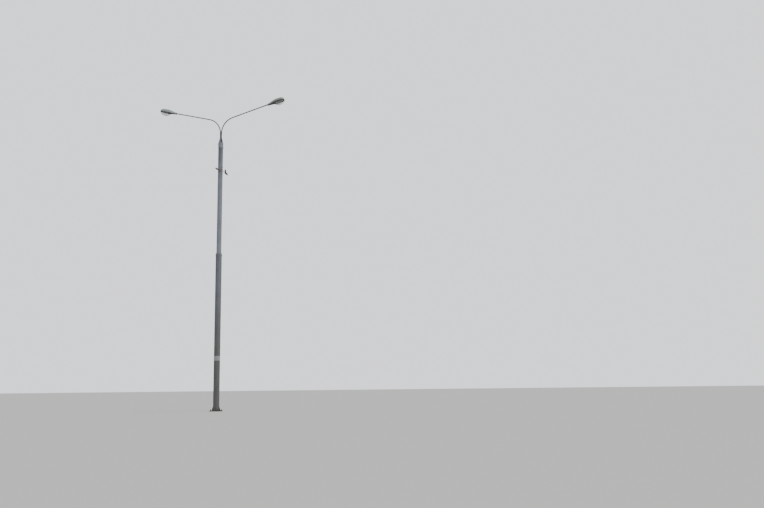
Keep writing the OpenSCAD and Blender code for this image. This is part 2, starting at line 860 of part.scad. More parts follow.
// Deep oval glass with a lip that sits in the frame
module glass_bowl(side) {
    lip_l = bowl_l / 2 + glass_lip - seat;
    lip_w = bowl_w / 2 + glass_lip - seat;
    out_l = bowl_l / 2 - seat;
    out_w = bowl_w / 2 - seat;
    top = frame_top_w - seat;
    low = frame_top_w - glass_seat_t;
    steps = 11;
    power = 2.2;
    function at(half_l, half_w, w) = [for (p = oval(half_l, half_w)) [p[0], p[1], w]];
    function dome(i, half_l, half_w, depth) =
        let (a = 90 * i / steps, r = pow(cos(a), 2 / power))
        at(half_l * r, half_w * r, low - depth * pow(sin(a), 2 / power));
    outer = concat(
        [at(lip_l, lip_w, top), at(lip_l, lip_w, low)],
        [for (i = [0 : steps - 1]) dome(i, out_l, out_w, bowl_depth)]
    );
    inner = concat(
        [for (i = [steps - 1 : -1 : 0]) dome(i, out_l - glass_t, out_w - glass_t, bowl_depth - glass_t)],
        [at(out_l - glass_t, out_w - glass_t, top)]
    );
    rings = concat(outer, inner);
    count = len(rings);
    split = len(outer);
    low_pole = count * oval_steps;
    function p(k, a) = (k % count) * oval_steps + a % oval_steps;
    color("lightcyan")
        at_lantern(side)
            polyhedron(
                points = concat(
                    [for (r = rings) each r],
                    [[bowl_mid_u, 0, low - bowl_depth], [bowl_mid_u, 0, low - bowl_depth + glass_t]]
                ),
                faces = concat(
                    [for (k = [0 : count - 1]) if (k != split - 1) for (a = [0 : oval_steps - 1]) each [
                        [p(k, a), p(k, a + 1), p(k + 1, a + 1)],
                        [p(k, a), p(k + 1, a + 1), p(k + 1, a)]
                    ]],
                    [for (a = [0 : oval_steps - 1]) [p(split - 1, a), p(split - 1, a + 1), low_pole]],
                    [for (a = [0 : oval_steps - 1]) [low_pole + 1, p(split, a + 1), p(split, a)]]
                ),
                convexity = 6
            );
}

// Spring clip at the tip that holds the bowl shut
module bowl_latch(side) {
    plate = [3, 32, 52];
    grip = [16, 32, 3];
    u = stations(0)[canopy_side_stations + canopy_tip_stations] + rim_proud + seat;
    low = frame_low_w - 4;
    color("silver")
        at_lantern(side) {
            translate([u, -plate[1] / 2, low]) cube(plate);
            translate([u, -grip[1] / 2, low - grip[2]]) cube(grip);
        }
}

base_flange();
base_ribs();
lower_tube();
shoulder_collar();
shoulder_cone();
upper_tube();
number_plate();
head_sleeve();
head_cap();
head_gussets();
arm(-1);  // left_arm
arm(1);  // right_arm
anchor_bands();
anchor_bracket(-1);  // near_anchor_bracket
anchor_bracket(1);  // far_anchor_bracket
clamp_bail(-1, near_bail_l);  // near_clamp_bail
clamp_bail(1, far_bail_l);  // far_clamp_bail
near_clamp();  // near_clamp_body
far_clamp();  // far_clamp_body
canopy(-1);  // left_canopy
lantern_base(-1);  // left_base
bulkhead(-1);  // left_bulkhead
neck_seal(-1);  // left_neck_seal
spigot_clamp(-1);  // left_spigot_clamp
reflector(-1);  // left_reflector
lampholder(-1);  // left_lampholder
lamp(-1);  // left_lamp
hinge_rod(-1);  // left_hinge_rod
bowl_frame(-1);  // left_bowl_frame
glass_bowl(-1);  // left_glass_bowl
bowl_latch(-1);  // left_bowl_latch
canopy(1);  // right_canopy
lantern_base(1);  // right_base
bulkhead(1);  // right_bulkhead
neck_seal(1);  // right_neck_seal
spigot_clamp(1);  // right_spigot_clamp
reflector(1);  // right_reflector
lampholder(1);  // right_lampholder
lamp(1);  // right_lamp
hinge_rod(1);  // right_hinge_rod
bowl_frame(1);  // right_bowl_frame
glass_bowl(1);  // right_glass_bowl
bowl_latch(1);  // right_bowl_latch
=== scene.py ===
import json
from functools import partial
from math import asin, copysign, cos, pi, radians, sin, sqrt

import bmesh
import bpy
from mathutils import Matrix, Vector


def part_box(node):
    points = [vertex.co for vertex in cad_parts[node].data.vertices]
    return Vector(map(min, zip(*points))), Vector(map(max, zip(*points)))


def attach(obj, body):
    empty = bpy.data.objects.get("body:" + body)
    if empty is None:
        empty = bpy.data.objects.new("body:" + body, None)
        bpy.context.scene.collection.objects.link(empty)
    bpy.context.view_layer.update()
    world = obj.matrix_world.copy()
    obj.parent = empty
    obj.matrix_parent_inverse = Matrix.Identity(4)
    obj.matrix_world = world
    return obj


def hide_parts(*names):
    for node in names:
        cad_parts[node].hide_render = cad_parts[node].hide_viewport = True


bl_info = {
    "name": "Twin-arm lighting column",
    "version": (1, 0, 0),
    "blender": (4, 5, 0),
    "location": "3D View > Sidebar > Lighting column",
    "description": "Dresses a packed lighting column: finishes, lantern shells, welds, bolts and the stage",
    "category": "Object",
}

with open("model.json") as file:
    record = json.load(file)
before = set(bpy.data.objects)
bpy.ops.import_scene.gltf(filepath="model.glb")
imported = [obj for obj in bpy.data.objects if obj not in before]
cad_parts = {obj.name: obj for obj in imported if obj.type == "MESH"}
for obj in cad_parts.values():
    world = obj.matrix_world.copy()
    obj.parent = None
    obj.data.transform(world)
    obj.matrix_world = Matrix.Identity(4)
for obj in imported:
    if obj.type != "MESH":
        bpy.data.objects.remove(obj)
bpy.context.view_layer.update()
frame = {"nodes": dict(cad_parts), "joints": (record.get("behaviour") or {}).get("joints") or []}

MM = 0.001
TURN = 2 * pi


def linear(code):
    """Turns an sRGB hex colour into the linear values that Blender works in."""
    parts = [int(code[i:i + 2], 16) / 255 for i in (1, 3, 5)]
    return [p / 12.92 if p <= 0.04045 else ((p + 0.055) / 1.055) ** 2.4 for p in parts] + [1.0]


def colour(name, description, code):
    return bpy.props.FloatVectorProperty(
        name=name, description=description, subtype="COLOR", size=4, min=0, max=1, default=linear(code))


def length(name, description, mm):
    return bpy.props.FloatProperty(
        name=name, description=description, unit="LENGTH", subtype="DISTANCE", min=0, default=mm * MM)


def strength(name, description, default):
    return bpy.props.FloatProperty(name=name, description=description, min=0, default=default)


class ColumnFinish(bpy.types.PropertyGroup):
    """Colours of the column and its bracket"""
    coat: colour("Column coat", "Grey enamel on the column's tubes", "#878c96")
    coat_dark: colour("Grimy film", "Film of grime over the enamel", "#676b72")
    coat_high: colour("Upper coat", "Cleaner enamel on the upper tube", "#9fa6b4")
    coat_high_dark: colour("Upper film", "Film on the upper tube", "#7c828e")
    splash: colour("Splashed dirt", "Greenish dirt that is thrown up on the lower tube", "#686b61")
    spray: colour("Dried spray", "Spray on the column's foot", "#65645e")
    bracket: colour("Bracket zinc", "Galvanised sleeve, cap and gussets of the bracket", "#b6bac6")
    bracket_dark: colour("Bracket patina", "Darker zinc patina on the bracket", "#9296a2")
    arm: colour("Left arm", "Zinc of the left arm", "#82888e")
    arm_patina: colour("Left arm patina", "Patina on the left arm", "#5f656b")
    # The right arm is the same zinc as the left arm: its darker tones here are painted shade, for its underside, which
    # faces down and is seen more from below
    arm_shaded: colour("Right arm", "Zinc of the right arm, which has dulled more", "#4e5358")
    arm_shaded_patina: colour("Right arm patina", "Patina on the right arm", "#393d41")
    saddle: colour("Saddle steel", "Steel of the anchor brackets", "#94908f")
    saddle_dark: colour("Saddle rust", "Rust that tinges that steel", "#716668")
    grime: colour("Grime", "Grime that the sleeve sheds on the tube below it", "#5d626c")
    chip: colour("Chip rust", "Rusty cores of the chips in the coat", "#43342e")
    rust: colour("Rust", "Weathered rust of the bands", "#7b716c")
    rust_light: colour("Worn rust", "Patches of the bands that are worn paler", "#8d8583")
    stain: colour("Rust stain", "Thin rust that rain has carried down", "#5f5250")
    link: colour("Link steel", "Long links of the tension clamps", "#99867c")
    plate: colour("Plate sheet", "Bare wrapped sheet on the column", "#cdd0d1")
    plate_dull: colour("Dull sheet", "Duller patches of the sheet", "#b0b3b3")


class LanternFinish(bpy.types.PropertyGroup):
    """Colours of the lanterns"""
    canopy: colour("Canopy", "Grey moulded canopy", "#bcc4c3")
    canopy_worn: colour("Worn canopy", "Chalked and dusty parts of the canopy", "#9fa6a5")
    soot: colour("Soot", "Specks on the canopy", "#757a78")
    casting: colour("Casting", "Paint on the lantern's lower casting", "#686d6d")
    casting_dark: colour("Casting shade", "Darker clouds in that paint", "#505555")
    frame: colour("Bowl frame", "Dark grey paint on the bowl's frame", "#686d6d")
    frame_dark: colour("Frame shade", "Darker clouds in the frame's paint", "#545959")
    reflector: colour("Reflector", "Anodised sheet", "#dee2e3")
    reflector_dull: colour("Dull reflector", "Dull clouds in the anodised sheet", "#c6cacb")
    glass: colour("Glass", "Clear pressed glass", "#fafcfb")
    dust: colour("Bowl dust", "Dust that lies in the bowl", "#b8b7ac")


class LanternSizes(bpy.types.PropertyGroup):
    """Sizes of a lantern, which follow the packed solids"""
    lantern_l: length("Length", "Length of the lantern", 824)
    canopy_w: length("Canopy width", "Largest width of the canopy", 350)
    neck_w: length("Neck width", "Width of the canopy at its neck", 92)
    canopy_h: length("Canopy height", "Height of the canopy above its lower edge", 145)
    neck_h: length("Neck height", "Height of the neck above the lower edge", 64)
    canopy_t: length("Canopy wall", "Wall of the canopy", 3)
    edge_drop: length("Edge drop", "Drop of the canopy's lower edge below the arm's centreline", 22)
    rim_h: length("Rim height", "Height of the casting's rim under the canopy", 18)
    bowl_l: length("Bowl length", "Length of the bowl's opening", 444)
    bowl_w: length("Bowl width", "Width of the bowl's opening", 296)
    bowl_depth: length("Bowl depth", "Depth of the glass below its seat", 145)
    glass_t: length("Glass wall", "Wall of the glass", 4)
    frame_h: length("Frame height", "Height of the bowl's frame", 18)
    hinge_back: length("Hinge distance", "Distance of the hinge from the bowl's opening", 26)
    hinge_w: length("Hinge drop", "Drop of the hinge below the arm's centreline", 64)


class FastenerSizes(bpy.types.PropertyGroup):
    """Sizes of bolts, screws and welds"""
    anchor_d: length("Anchor bolt", "Diameter of the anchor bolts' thread", 30)
    anchor_l: length("Anchor bolt height", "Height of the anchor bolts' tops above the foundation", 92)
    anchor_pitch: length("Thread pitch", "Pitch of the anchor bolts' thread", 3.5)
    set_screw_d: length("Set screw", "Diameter of the sleeve's set screws", 12)
    weld_leg: length("Weld leg", "Leg of the fillet welds", 7)
    ripple: length("Weld ripple", "Spacing of the welds' ripples", 5)


class StageLook(bpy.types.PropertyGroup):
    """Floor, background and light of the stage"""
    floor: colour("Floor", "Plain pale floor", "#eff0f0")
    floor_light: colour("Floor light", "What the floor throws back", "#a8a8a6")
    sky: colour("Background", "Plain pale background", "#d3d5d9")
    sky_strength: strength("Background strength", "How bright the background shows", 2.1)
    sky_light: strength("Fill light", "Strength of the light that comes from all round", 0.8)
    sun_strength: strength("Key light", "Strength of the soft key light", 1.2)
    sun_spread: bpy.props.FloatProperty(
        name="Key spread", description="Spread of the soft key light", subtype="ANGLE",
        min=0, max=pi, default=radians(50))


GROUPS = {
    "column_finish": ColumnFinish, "lantern_finish": LanternFinish, "lantern_sizes": LanternSizes,
    "fastener_sizes": FastenerSizes, "stage_look": StageLook,
}

# ---------------------------------------------------------------- places

RIGHT_HINGE = next(j for j in frame["joints"] if j["name"] == "right_bowl_hinge")["pos_m"]
SIDES = {"left": -1, "right": 1}
ARM_RISE = radians(14.6)
ORIGIN = Matrix.Identity(4)
QUARTERS = [Matrix.Rotation(k * pi / 2, 4, "Z") for k in range(4)]
FLANGE_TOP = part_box("base_flange")[1].z
LOWER_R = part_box("lower_tube")[1].x
# The upper tube's box takes in the centring ring on its hidden end, so its radius stands here
UPPER_R = 109.5 * MM
COLLAR_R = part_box("shoulder_collar")[1].x
COLLAR_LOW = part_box("shoulder_collar")[0].z
COLLAR_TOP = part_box("lower_tube")[1].z
CONE_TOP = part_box("shoulder_cone")[1].z
SLEEVE_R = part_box("head_sleeve")[1].x
SLEEVE_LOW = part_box("head_sleeve")[0].z
COLUMN_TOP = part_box("upper_tube")[1].z
CAP_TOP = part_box("head_cap")[1].z


def sizes():
    return bpy.context.scene.lantern_sizes


def mid_u():
    """Distance of the bowl's middle from the lantern's neck."""
    tip_gap = 20 * MM
    return sizes().lantern_l - tip_gap - sizes().bowl_l / 2


def hinge_u():
    """Distance of the bowl's hinge from the lantern's neck."""
    return mid_u() - sizes().bowl_l / 2 - sizes().hinge_back


def moved(place, x=0.0, y=0.0, z=0.0):
    """A place moved along its own axes."""
    return place @ Matrix.Translation((x, y, z))


def turned(place, angle, axis="Z"):
    """A place turned about one of its own axes."""
    return place @ Matrix.Rotation(angle, 4, axis)


def at_lantern(side, u=0.0, y=0.0, w=0.0):
    """Place in a lantern's own axes: u outward along the arm and w up, from its neck."""
    out = Vector((cos(ARM_RISE), 0, sin(ARM_RISE)))
    up = Vector((-sin(ARM_RISE), 0, cos(ARM_RISE)))
    neck = Vector(RIGHT_HINGE) - out * hinge_u() + up * sizes().hinge_w
    way = turned(ORIGIN, pi) if SIDES[side] < 0 else ORIGIN
    return moved(turned(moved(way, *neck), -ARM_RISE, "Y"), u, y, w)


def facing(angle, radius, z):
    """Place on the column whose z axis points away from it, at an angle round it."""
    return turned(moved(turned(ORIGIN, angle), radius, 0, z), pi / 2, "Y")


def power(x, p):
    return copysign(abs(x) ** p, x)


def blunt(q, p):
    """Fall from 1 to 0 as q goes from 0 to 1, blunter for a higher power."""
    return max(0.0, 1 - max(0.0, q) ** p) ** (1 / p)


def ease(s):
    """Smooth rise from 0 to 1."""
    s = min(1, max(0, s))
    return s * s * (3 - 2 * s)


# Where along the lantern the canopy is widest and highest, and how blunt its tip, its arches and the bowl's plan are
WIDE_AT, HIGH_AT, TIP_BLUNT_W, TIP_BLUNT_H, ARCH_POWER, OVAL_POWER = 0.66, 0.55, 2.8, 3.5, 2.3, 2.6
TIP_TURN = radians(87)
# Angle in degrees over which an edge of the lanterns' shells shows sharp
SHELL_SHARP = 50


def canopy_half(u):
    s, t = sizes(), u / sizes().lantern_l
    if t < WIDE_AT:
        return s.neck_w / 2 + (s.canopy_w - s.neck_w) / 2 * ease(t / WIDE_AT)
    return s.canopy_w / 2 * blunt((t - WIDE_AT) / (1 - WIDE_AT), TIP_BLUNT_W)


def canopy_rise(u):
    s, t = sizes(), u / sizes().lantern_l
    if t < HIGH_AT:
        return s.neck_h + (s.canopy_h - s.neck_h) * ease(t / HIGH_AT)
    return s.canopy_h * blunt((t - HIGH_AT) / (1 - HIGH_AT), TIP_BLUNT_H)


def stations(body_steps, tip_steps):
    """Distances along the lantern, closer together where the tip turns in."""
    body = WIDE_AT * sizes().lantern_l
    tip = sizes().lantern_l - body
    return ([body * i / body_steps for i in range(body_steps)]
            + [body + tip * sin(TIP_TURN * i / tip_steps) for i in range(tip_steps + 1)])


def arch_at(a):
    """Shares of an arch's half width and rise at an angle over the lantern."""
    return power(cos(a), 2 / ARCH_POWER), max(0.0, sin(a)) ** (2 / ARCH_POWER)


def arch(place, u, half, rise, low, steps, proud=lambda a, h: (0, 0)):
    """Arch of points over the lantern. proud(angle, h) gives how far each stands out and up."""
    row = []
    for j in range(steps + 1):
        a = pi * j / steps
        c, h = arch_at(a)
        out, up = proud(a, h)
        row.append(place @ Vector((u, (half + out) * c, low + (rise + up) * h)))
    return row


def oval(place, half_l, half_w, w, steps):
    """Ring of points in the bowl's plan: an oval with blunt ends."""
    return [place @ Vector((mid_u() + half_l * power(cos(TURN * k / steps), 2 / OVAL_POWER),
                            half_w * power(sin(TURN * k / steps), 2 / OVAL_POWER), w)) for k in range(steps)]


# ---------------------------------------------------------------- mesh tools


def grid(bm, rows, ring=False, capped=False):
    """Skins rows of points of one length with quads, and returns the rows of vertices."""
    made = [[bm.verts.new(p) for p in row] for row in rows]
    for a, b in zip(made, made[1:]):
        count = len(a)
        for k in range(count if ring else count - 1):
            bm.faces.new((a[k], b[k], b[(k + 1) % count], a[(k + 1) % count]))
    if capped:
        bm.faces.new(made[0])
        bm.faces.new(list(reversed(made[-1])))
    return made


def vessel(bm, outside, inside):
    """Hollow vessel from rings: its outside runs from the mouth to the far end, and its inside back to the mouth."""
    outer, inner = grid(bm, outside, ring=True), grid(bm, inside, ring=True)
    count = len(outer[0])
    for k in range(count):
        after = (k + 1) % count
        bm.faces.new((outer[0][k], outer[0][after], inner[-1][after], inner[-1][k]))
    bm.faces.new(outer[-1])
    bm.faces.new(inner[0])


def shell(bm, outside, inside):
    """Hollow shell from arches, open below and closed at its last arch."""
    outer, inner = grid(bm, outside), grid(bm, inside)
    for a in range(len(outer) - 1):
        for j in (0, -1):
            bm.faces.new((outer[a][j], outer[a + 1][j], inner[a + 1][j], inner[a][j]))
    for j in range(len(outer[0]) - 1):
        bm.faces.new((outer[0][j], outer[0][j + 1], inner[0][j + 1], inner[0][j]))
    bm.faces.new(outer[-1])
    bm.faces.new(inner[-1])
    bm.faces.new((outer[-1][0], outer[-1][-1], inner[-1][-1], inner[-1][0]))


def rings(place, profile, steps, radius=None):
    """Rings of points round a place's z axis, one for each (r, z). radius(r, angle, z) may change the distance."""
    rows = []
    for r, z in profile:
        row = []
        for k in range(steps):
            a = TURN * k / steps
            d = radius(r, a, z) if radius else r
            row.append(place @ Vector((d * cos(a), d * sin(a), z)))
        rows.append(row)
    return rows


def revolve(bm, place, profile, steps=48, radius=None, closed=False):
    """Turns a profile of (r, z) about a place's z axis."""
    rows = rings(place, profile, steps, radius)
    grid(bm, rows + rows[:1] if closed else rows, ring=True, capped=not closed)


def hexagon(bm, place, across, height, bore=0.0, steps=48):
    """Hexagonal nut or bolt head with turned chamfers, standing on its place."""
    def radius(r, a, z):
        flat = across / 2 / cos((a + pi / 6) % (pi / 3) - pi / 6)
        edge = min(z, height - z)
        return r if r <= bore + 1e-9 else min(flat, across * 0.49 + 1.73 * max(0, edge))
    chamfer, corner = (0, 0.02, 0.05), across * 0.6
    side = [(corner, across * v) for v in chamfer] + [(corner, height - across * v) for v in reversed(chamfer)]
    hole = [(bore, height), (bore, 0)] if bore else []
    revolve(bm, place, side + hole, steps, radius, closed=bool(bore))


def washer(bm, place, outer, bore, thick, steps=40):
    edge = thick * 0.2
    revolve(bm, place, [
        (bore, 0), (outer - edge, 0), (outer, edge), (outer, thick - edge), (outer - edge, thick), (bore, thick)
    ], steps, closed=True)


def threaded(bm, place, d, low, high, pitch, steps=20):
    """Stud with a V thread that winds up it, and a chamfered top."""
    rows = int((high - low) / pitch * 4)
    profile = [(d / 2, low + (high - low) * i / rows) for i in range(rows + 1)]
    depth = 0.54 * pitch

    def radius(r, a, z):
        wave = abs(((z / pitch - a / TURN) % 1) * 2 - 1)
        return min(r - depth * wave, r - depth + max(0, high - z))
    revolve(bm, place, profile, steps, radius)


def rod(bm, path, radius, steps=12, ring=False):
    """Round rod along a path of points, with flat ends unless it closes on itself."""
    path = [Vector(p) for p in path]
    count = len(path)
    side = None
    rows = []
    for i, p in enumerate(path):
        ahead = path[(i + 1) % count] if ring or i + 1 < count else p
        behind = path[i - 1] if ring or i else p
        along = (ahead - behind).normalized()
        if side is None:
            side = along.orthogonal().normalized()
        side = (side - along * side.dot(along)).normalized()
        other = along.cross(side)
        r = radius(i / (count - 1)) if callable(radius) else radius
        rows.append([p + (side * cos(TURN * k / steps) + other * sin(TURN * k / steps)) * r for k in range(steps)])
    grid(bm, rows + rows[:1] if ring else rows, ring=True, capped=not ring)


def weld_ring(bm, place, radius, leg, ripple):
    """Fillet weld round a tube that stands on a plate, with the ripples of its passes."""
    count = max(12, round(TURN * radius / ripple))
    section = ((-0.1, -0.1), (1, -0.05), (0.86, 0.2), (0.5, 0.48), (0.18, 0.84), (0.02, 1), (-0.1, 1))
    revolve(bm, place, [(radius + out * leg, up * leg) for out, up in section], count * 3,
            lambda r, a, z: r + (0.06 * leg * cos(a * count) if 0 < z < leg else 0), closed=True)


def weld_band(bm, radius, height, section_mm, half_mm, ripple):
    """Weld over an outer edge of the column, rippled up to half_mm from its middle."""
    count = round(TURN * radius / ripple)
    revolve(bm, moved(ORIGIN, z=height), [(radius + out * MM, up * MM) for out, up in section_mm], count * 3,
            lambda r, a, z: r + (0.3 * MM * cos(a * count) if abs(z) < half_mm * MM else 0), closed=True)


def weld_line(bm, start, end, face_a, face_b, leg, ripple):
    """Fillet weld along a straight corner between two faces with the given outward normals."""
    start, end, face_a, face_b = Vector(start), Vector(end), Vector(face_a), Vector(face_b)
    count = max(4, round((end - start).length / ripple) * 3)
    rows = []
    for i in range(count + 1):
        t = i / count
        swell = 1 + 0.08 * cos(TURN * i / 3)
        size = leg * min(1.0, 8 * min(t, 1 - t) + 0.35)
        rows.append([start.lerp(end, t) + (face_a * a + face_b * b) * size * (swell if min(a, b) > 0.1 else 1)
                     for a, b in ((-0.1, -0.1), (1, -0.1), (0.8, 0.22), (0.5, 0.5), (0.22, 0.8), (-0.1, 1))])
    grid(bm, rows, ring=True, capped=True)


def stiffener_welds(bm, quarter, half_t, runs, leg, ripple):
    """Welds both sides of a plate that stands out from the column, along runs from (x, z) to (x, z)."""
    for way in (-1, 1):
        for (x0, z0), (x1, z1) in runs:
            face = quarter @ Vector((1, 0, 0)) if x0 == x1 else (0, 0, 1)
            weld_line(bm, quarter @ Vector((x0, way * half_t, z0)), quarter @ Vector((x1, way * half_t, z1)),
                      quarter @ Vector((0, way, 0)), face, leg, ripple)


def piece(name, bm, finish, stands_for=None, body="column", sharp=35):
    """Turns a mesh in the making into a named piece that rides on a body."""
    bmesh.ops.remove_doubles(bm, verts=bm.verts, dist=1e-6)
    bmesh.ops.recalc_face_normals(bm, faces=bm.faces)
    for face in bm.faces:
        face.smooth = True
    mesh = bpy.data.meshes.new(name)
    bm.to_mesh(mesh)
    bm.free()
    mesh.set_sharp_from_angle(angle=radians(sharp))
    mesh.materials.append(FINISHES[finish])
    made = bpy.data.objects.new(name, mesh)
    bpy.context.scene.collection.objects.link(made)
    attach(made, body)
    if stands_for:
        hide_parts(stands_for)


# ---------------------------------------------------------------- finishes


def add_node(tree, kind, inputs=None, **settings):
    """Adds a node with its settings and links. An input is a value, a hex colour, a socket, or a node whose first
    live output is used."""
    made = tree.nodes.new("ShaderNode" + kind)
    for name, value in settings.items():
        setattr(made, name, value)
    for name, value in (inputs or {}).items():
        if isinstance(value, bpy.types.Node):
            value = next(socket for socket in value.outputs if socket.enabled)
        if isinstance(value, bpy.types.NodeSocket):
            tree.links.new(value, made.inputs[name])
        else:
            made.inputs[name].default_value = linear(value) if isinstance(value, str) else value
    return made


def start_finish(name):
    """Starts a material, and returns it with what adds its nodes and with its object coordinates."""
    made = bpy.data.materials.new(name)
    made.use_nodes = True
    made.node_tree.nodes.clear()
    add = partial(add_node, made.node_tree)
    return made, add, add("TexCoord").outputs["Object"]


def finish_off(made, coats, relief, depth_mm, shader):
    """Lays coats of colour over the first by their masks, and shades them with a relief of a real depth."""
    add = partial(add_node, made.node_tree)
    tone = coats[0]
    for mask, shade in coats[1:]:
        tone = add("Mix", {0: mask, 6: tone, 7: shade}, data_type="RGBA")
    bump = add("Bump", {"Height": relief, "Distance": depth_mm * MM, "Strength": 1.0})
    add("OutputMaterial", {"Surface": add("BsdfPrincipled", {**shader, "Base Color": tone, "Normal": bump})})
    return made


def at_size(place, mm, **more):
    """Inputs of a pattern whose features are about this many millimetres wide."""
    return {"Vector": place, "Scale": 1000 / mm, **more}


def rain_runs(add, place, wide_mm, drawn=20, along=2):
    """Streaks that rain leaves: of a real width, and drawn out along one axis."""
    scale = [1, 1, 1]
    scale[along] = 1 / drawn
    streaked = add("Mapping", {"Vector": place, "Scale": scale})
    return add("TexNoise", at_size(streaked, wide_mm, Detail=3, Roughness=0.55))


def column_enamel(name, look, coat, film_tone):
    """Grey alkyd enamel brushed on steel tube. It is dull and chalky, with grime in runs, and rust has bled
    from the bands and from chips in the coat."""
    made, add, place = start_finish(name)
    at = add("SeparateXYZ", {"Vector": place}).outputs
    patches = add("TexNoise", at_size(place, 420, Detail=4))
    spatter = add("TexNoise", at_size(place, 90, Detail=4))
    runs = rain_runs(add, place, 25)
    film = add("MapRange", {0: runs, 1: 0.38, 2: 0.68, 4: add("MapRange", {0: patches, 1: 0.35, 2: 0.7})})
    # The bands' stains lie on the side towards the right arm, and start under the upper band
    stained_side = add("MapRange", {0: at["X"], 1: -0.04, 2: 0.07, 4: add("MapRange", {
        0: at["Z"], 1: 10.93, 2: 10.8, 4: 0.6})})
    coats = [coat, (film, film_tone)]
    # Each coat of dirt grows from nothing at one height to its full strength at another
    for none_at, full_at, strongest, shade in (
        # Splashed dirt dulls the lower tube up to about five metres
        (5.2, 2.8, {0: runs, 1: 0.3, 2: 0.66, 3: 0.4, 4: 0.82}, look.splash),
        # Spray darkens the lowest metre and a half
        (1.6, 0.1, {0: spatter, 1: 0.3, 2: 0.62, 4: 0.5}, look.spray),
        # Rust has come through in patches on the flange and the lowest ends of the ribs
        (0.12, 0.03, {0: spatter, 1: 0.5, 2: 0.6, 4: 0.6}, look.chip),
        # The bands' stains grow paler as they run down
        (9.9, 10.75, {0: runs, 1: 0.42, 2: 0.6, 4: stained_side}, look.stain),
        # Grime from the sleeve is thickest right below it
        (10.8, SLEEVE_LOW, {0: runs, 1: 0.2, 2: 0.6, 3: 0.3, 4: 0.75}, look.grime),
    ):
        mask = add("MapRange", {0: at["Z"], 1: none_at, 2: full_at, 4: add("MapRange", strongest)})
        coats.append((mask, shade))
    # Chips with a rusty core, 9 mm across and rare
    chips = add("TexVoronoi", at_size(place, 80, Randomness=1.0))
    core = add("MapRange", {0: chips, 1: 0.06, 2: 0.035, 4: add("MapRange", {0: patches, 1: 0.5, 2: 0.62, 4: 0.75})})
    coats.append((core, look.chip))
    # Brush marks and orange peel, drawn 12 mm wide so that they show
    brushed = rain_runs(add, place, 12, 3)
    return finish_off(made, coats, brushed, 0.35, {"Roughness": add("MapRange", {0: film, 3: 0.5, 4: 0.74})})


def dulled_zinc(name, light, dark, spangle_mm, rough, metallic=0.0):
    """Hot-dip galvanised steel, dulled by years outside: the zinc's crystals show as flat grey patches, and
    rain has left darker runs."""
    made, add, place = start_finish(name)
    crystals = add("TexVoronoi", at_size(place, spangle_mm))
    shade = add("SeparateColor", {"Color": crystals.outputs["Color"]})
    cloud = add("TexNoise", at_size(place, spangle_mm * 9, Detail=4))
    patina = add("MapRange", {0: cloud, 1: 0.3, 2: 0.75, 3: add("MapRange", {0: shade, 4: 0.35}), 4: 0.9})
    streaks = add("MapRange", {0: rain_runs(add, place, 18, 12), 1: 0.5, 2: 0.7, 4: 0.45})
    skin = add("TexNoise", at_size(place, spangle_mm * 0.6, Detail=3))
    return finish_off(made, (light, (patina, dark), (streaks, dark)), skin, 0.25, {
        "Metallic": metallic,
        "Roughness": add("MapRange", {0: cloud, 1: 0.3, 2: 0.7, 3: rough - 0.08, 4: rough + 0.1})})


def rusted_strap(look):
    """Hot-rolled mild steel strap that was painted once: matt, scaly rust through the last of the paint, with
    dark pits."""
    made, add, place = start_finish("rusted_mild_steel")
    flakes = add("TexNoise", at_size(place, 14, Detail=5, Roughness=0.65))
    deep = add("TexNoise", at_size(place, 55, Detail=3))
    return finish_off(made, (
        look.rust, (add("MapRange", {0: flakes, 1: 0.35, 2: 0.65}), look.rust_light),
        (add("MapRange", {0: deep, 1: 0.55, 2: 0.7, 4: 0.7}), "#493d38"),
    ), flakes, 0.7, {"Roughness": 0.85})


def sand_cast(name, light, dark, dust, rough, grain_mm=4.0, depth_mm=0.3):
    """Casting under paint or patina: a fine sandy skin that breaks up highlights, cloudy, with dust on what
    faces up."""
    made, add, place = start_finish(name)
    grain = add("TexNoise", at_size(place, grain_mm, Detail=4, Roughness=0.7))
    cloud = add("TexNoise", at_size(place, 70, Detail=3))
    up = add("SeparateXYZ", {"Vector": add("NewGeometry").outputs["Normal"]}).outputs["Z"]
    settled = add("MapRange", {0: up, 1: 0.3, 2: 0.95, 4: add("MapRange", {0: grain, 1: 0.3, 2: 0.6, 3: 0.15, 4: 0.5})})
    return finish_off(made, (
        dark, (add("MapRange", {0: cloud, 1: 0.35, 2: 0.65}), light), (settled, dust),
    ), grain, depth_mm, {
        "Roughness": add("MapRange", {0: cloud, 1: 0.3, 2: 0.7, 3: rough - 0.07, 4: rough + 0.07})})


def moulded_canopy(look):
    """Glass-reinforced polyester, moulded against a polished tool: the gel coat is smooth and faintly glossy where
    it is new, and the sun and rain have chalked it in runs down its sides. The glass mat shows through a little."""
    made, add, place = start_finish("moulded_polyester_canopy")
    cloud = add("TexNoise", at_size(place, 160, Detail=4))
    runs = rain_runs(add, place, 16, 8)
    worn = add("MapRange", {0: runs, 1: 0.35, 2: 0.7, 4: add("MapRange", {0: cloud, 1: 0.36, 2: 0.66})})
    # Soot specks, 4 mm across
    specks = add("TexVoronoi", at_size(place, 34))
    soot = add("MapRange", {0: specks, 1: 0.075, 2: 0.05, 4: 0.5})
    # The mat's print is 3 mm wide, and is drawn 9 mm wide so that it shows
    mat = add("TexNoise", at_size(place, 9, Detail=2))
    return finish_off(made, (look.canopy, (worn, look.canopy_worn), (soot, look.soot)), mat, 0.12, {
        "Roughness": add("MapRange", {0: worn, 3: 0.34, 4: 0.6}), "Coat Weight": 0.15, "Coat Roughness": 0.25})


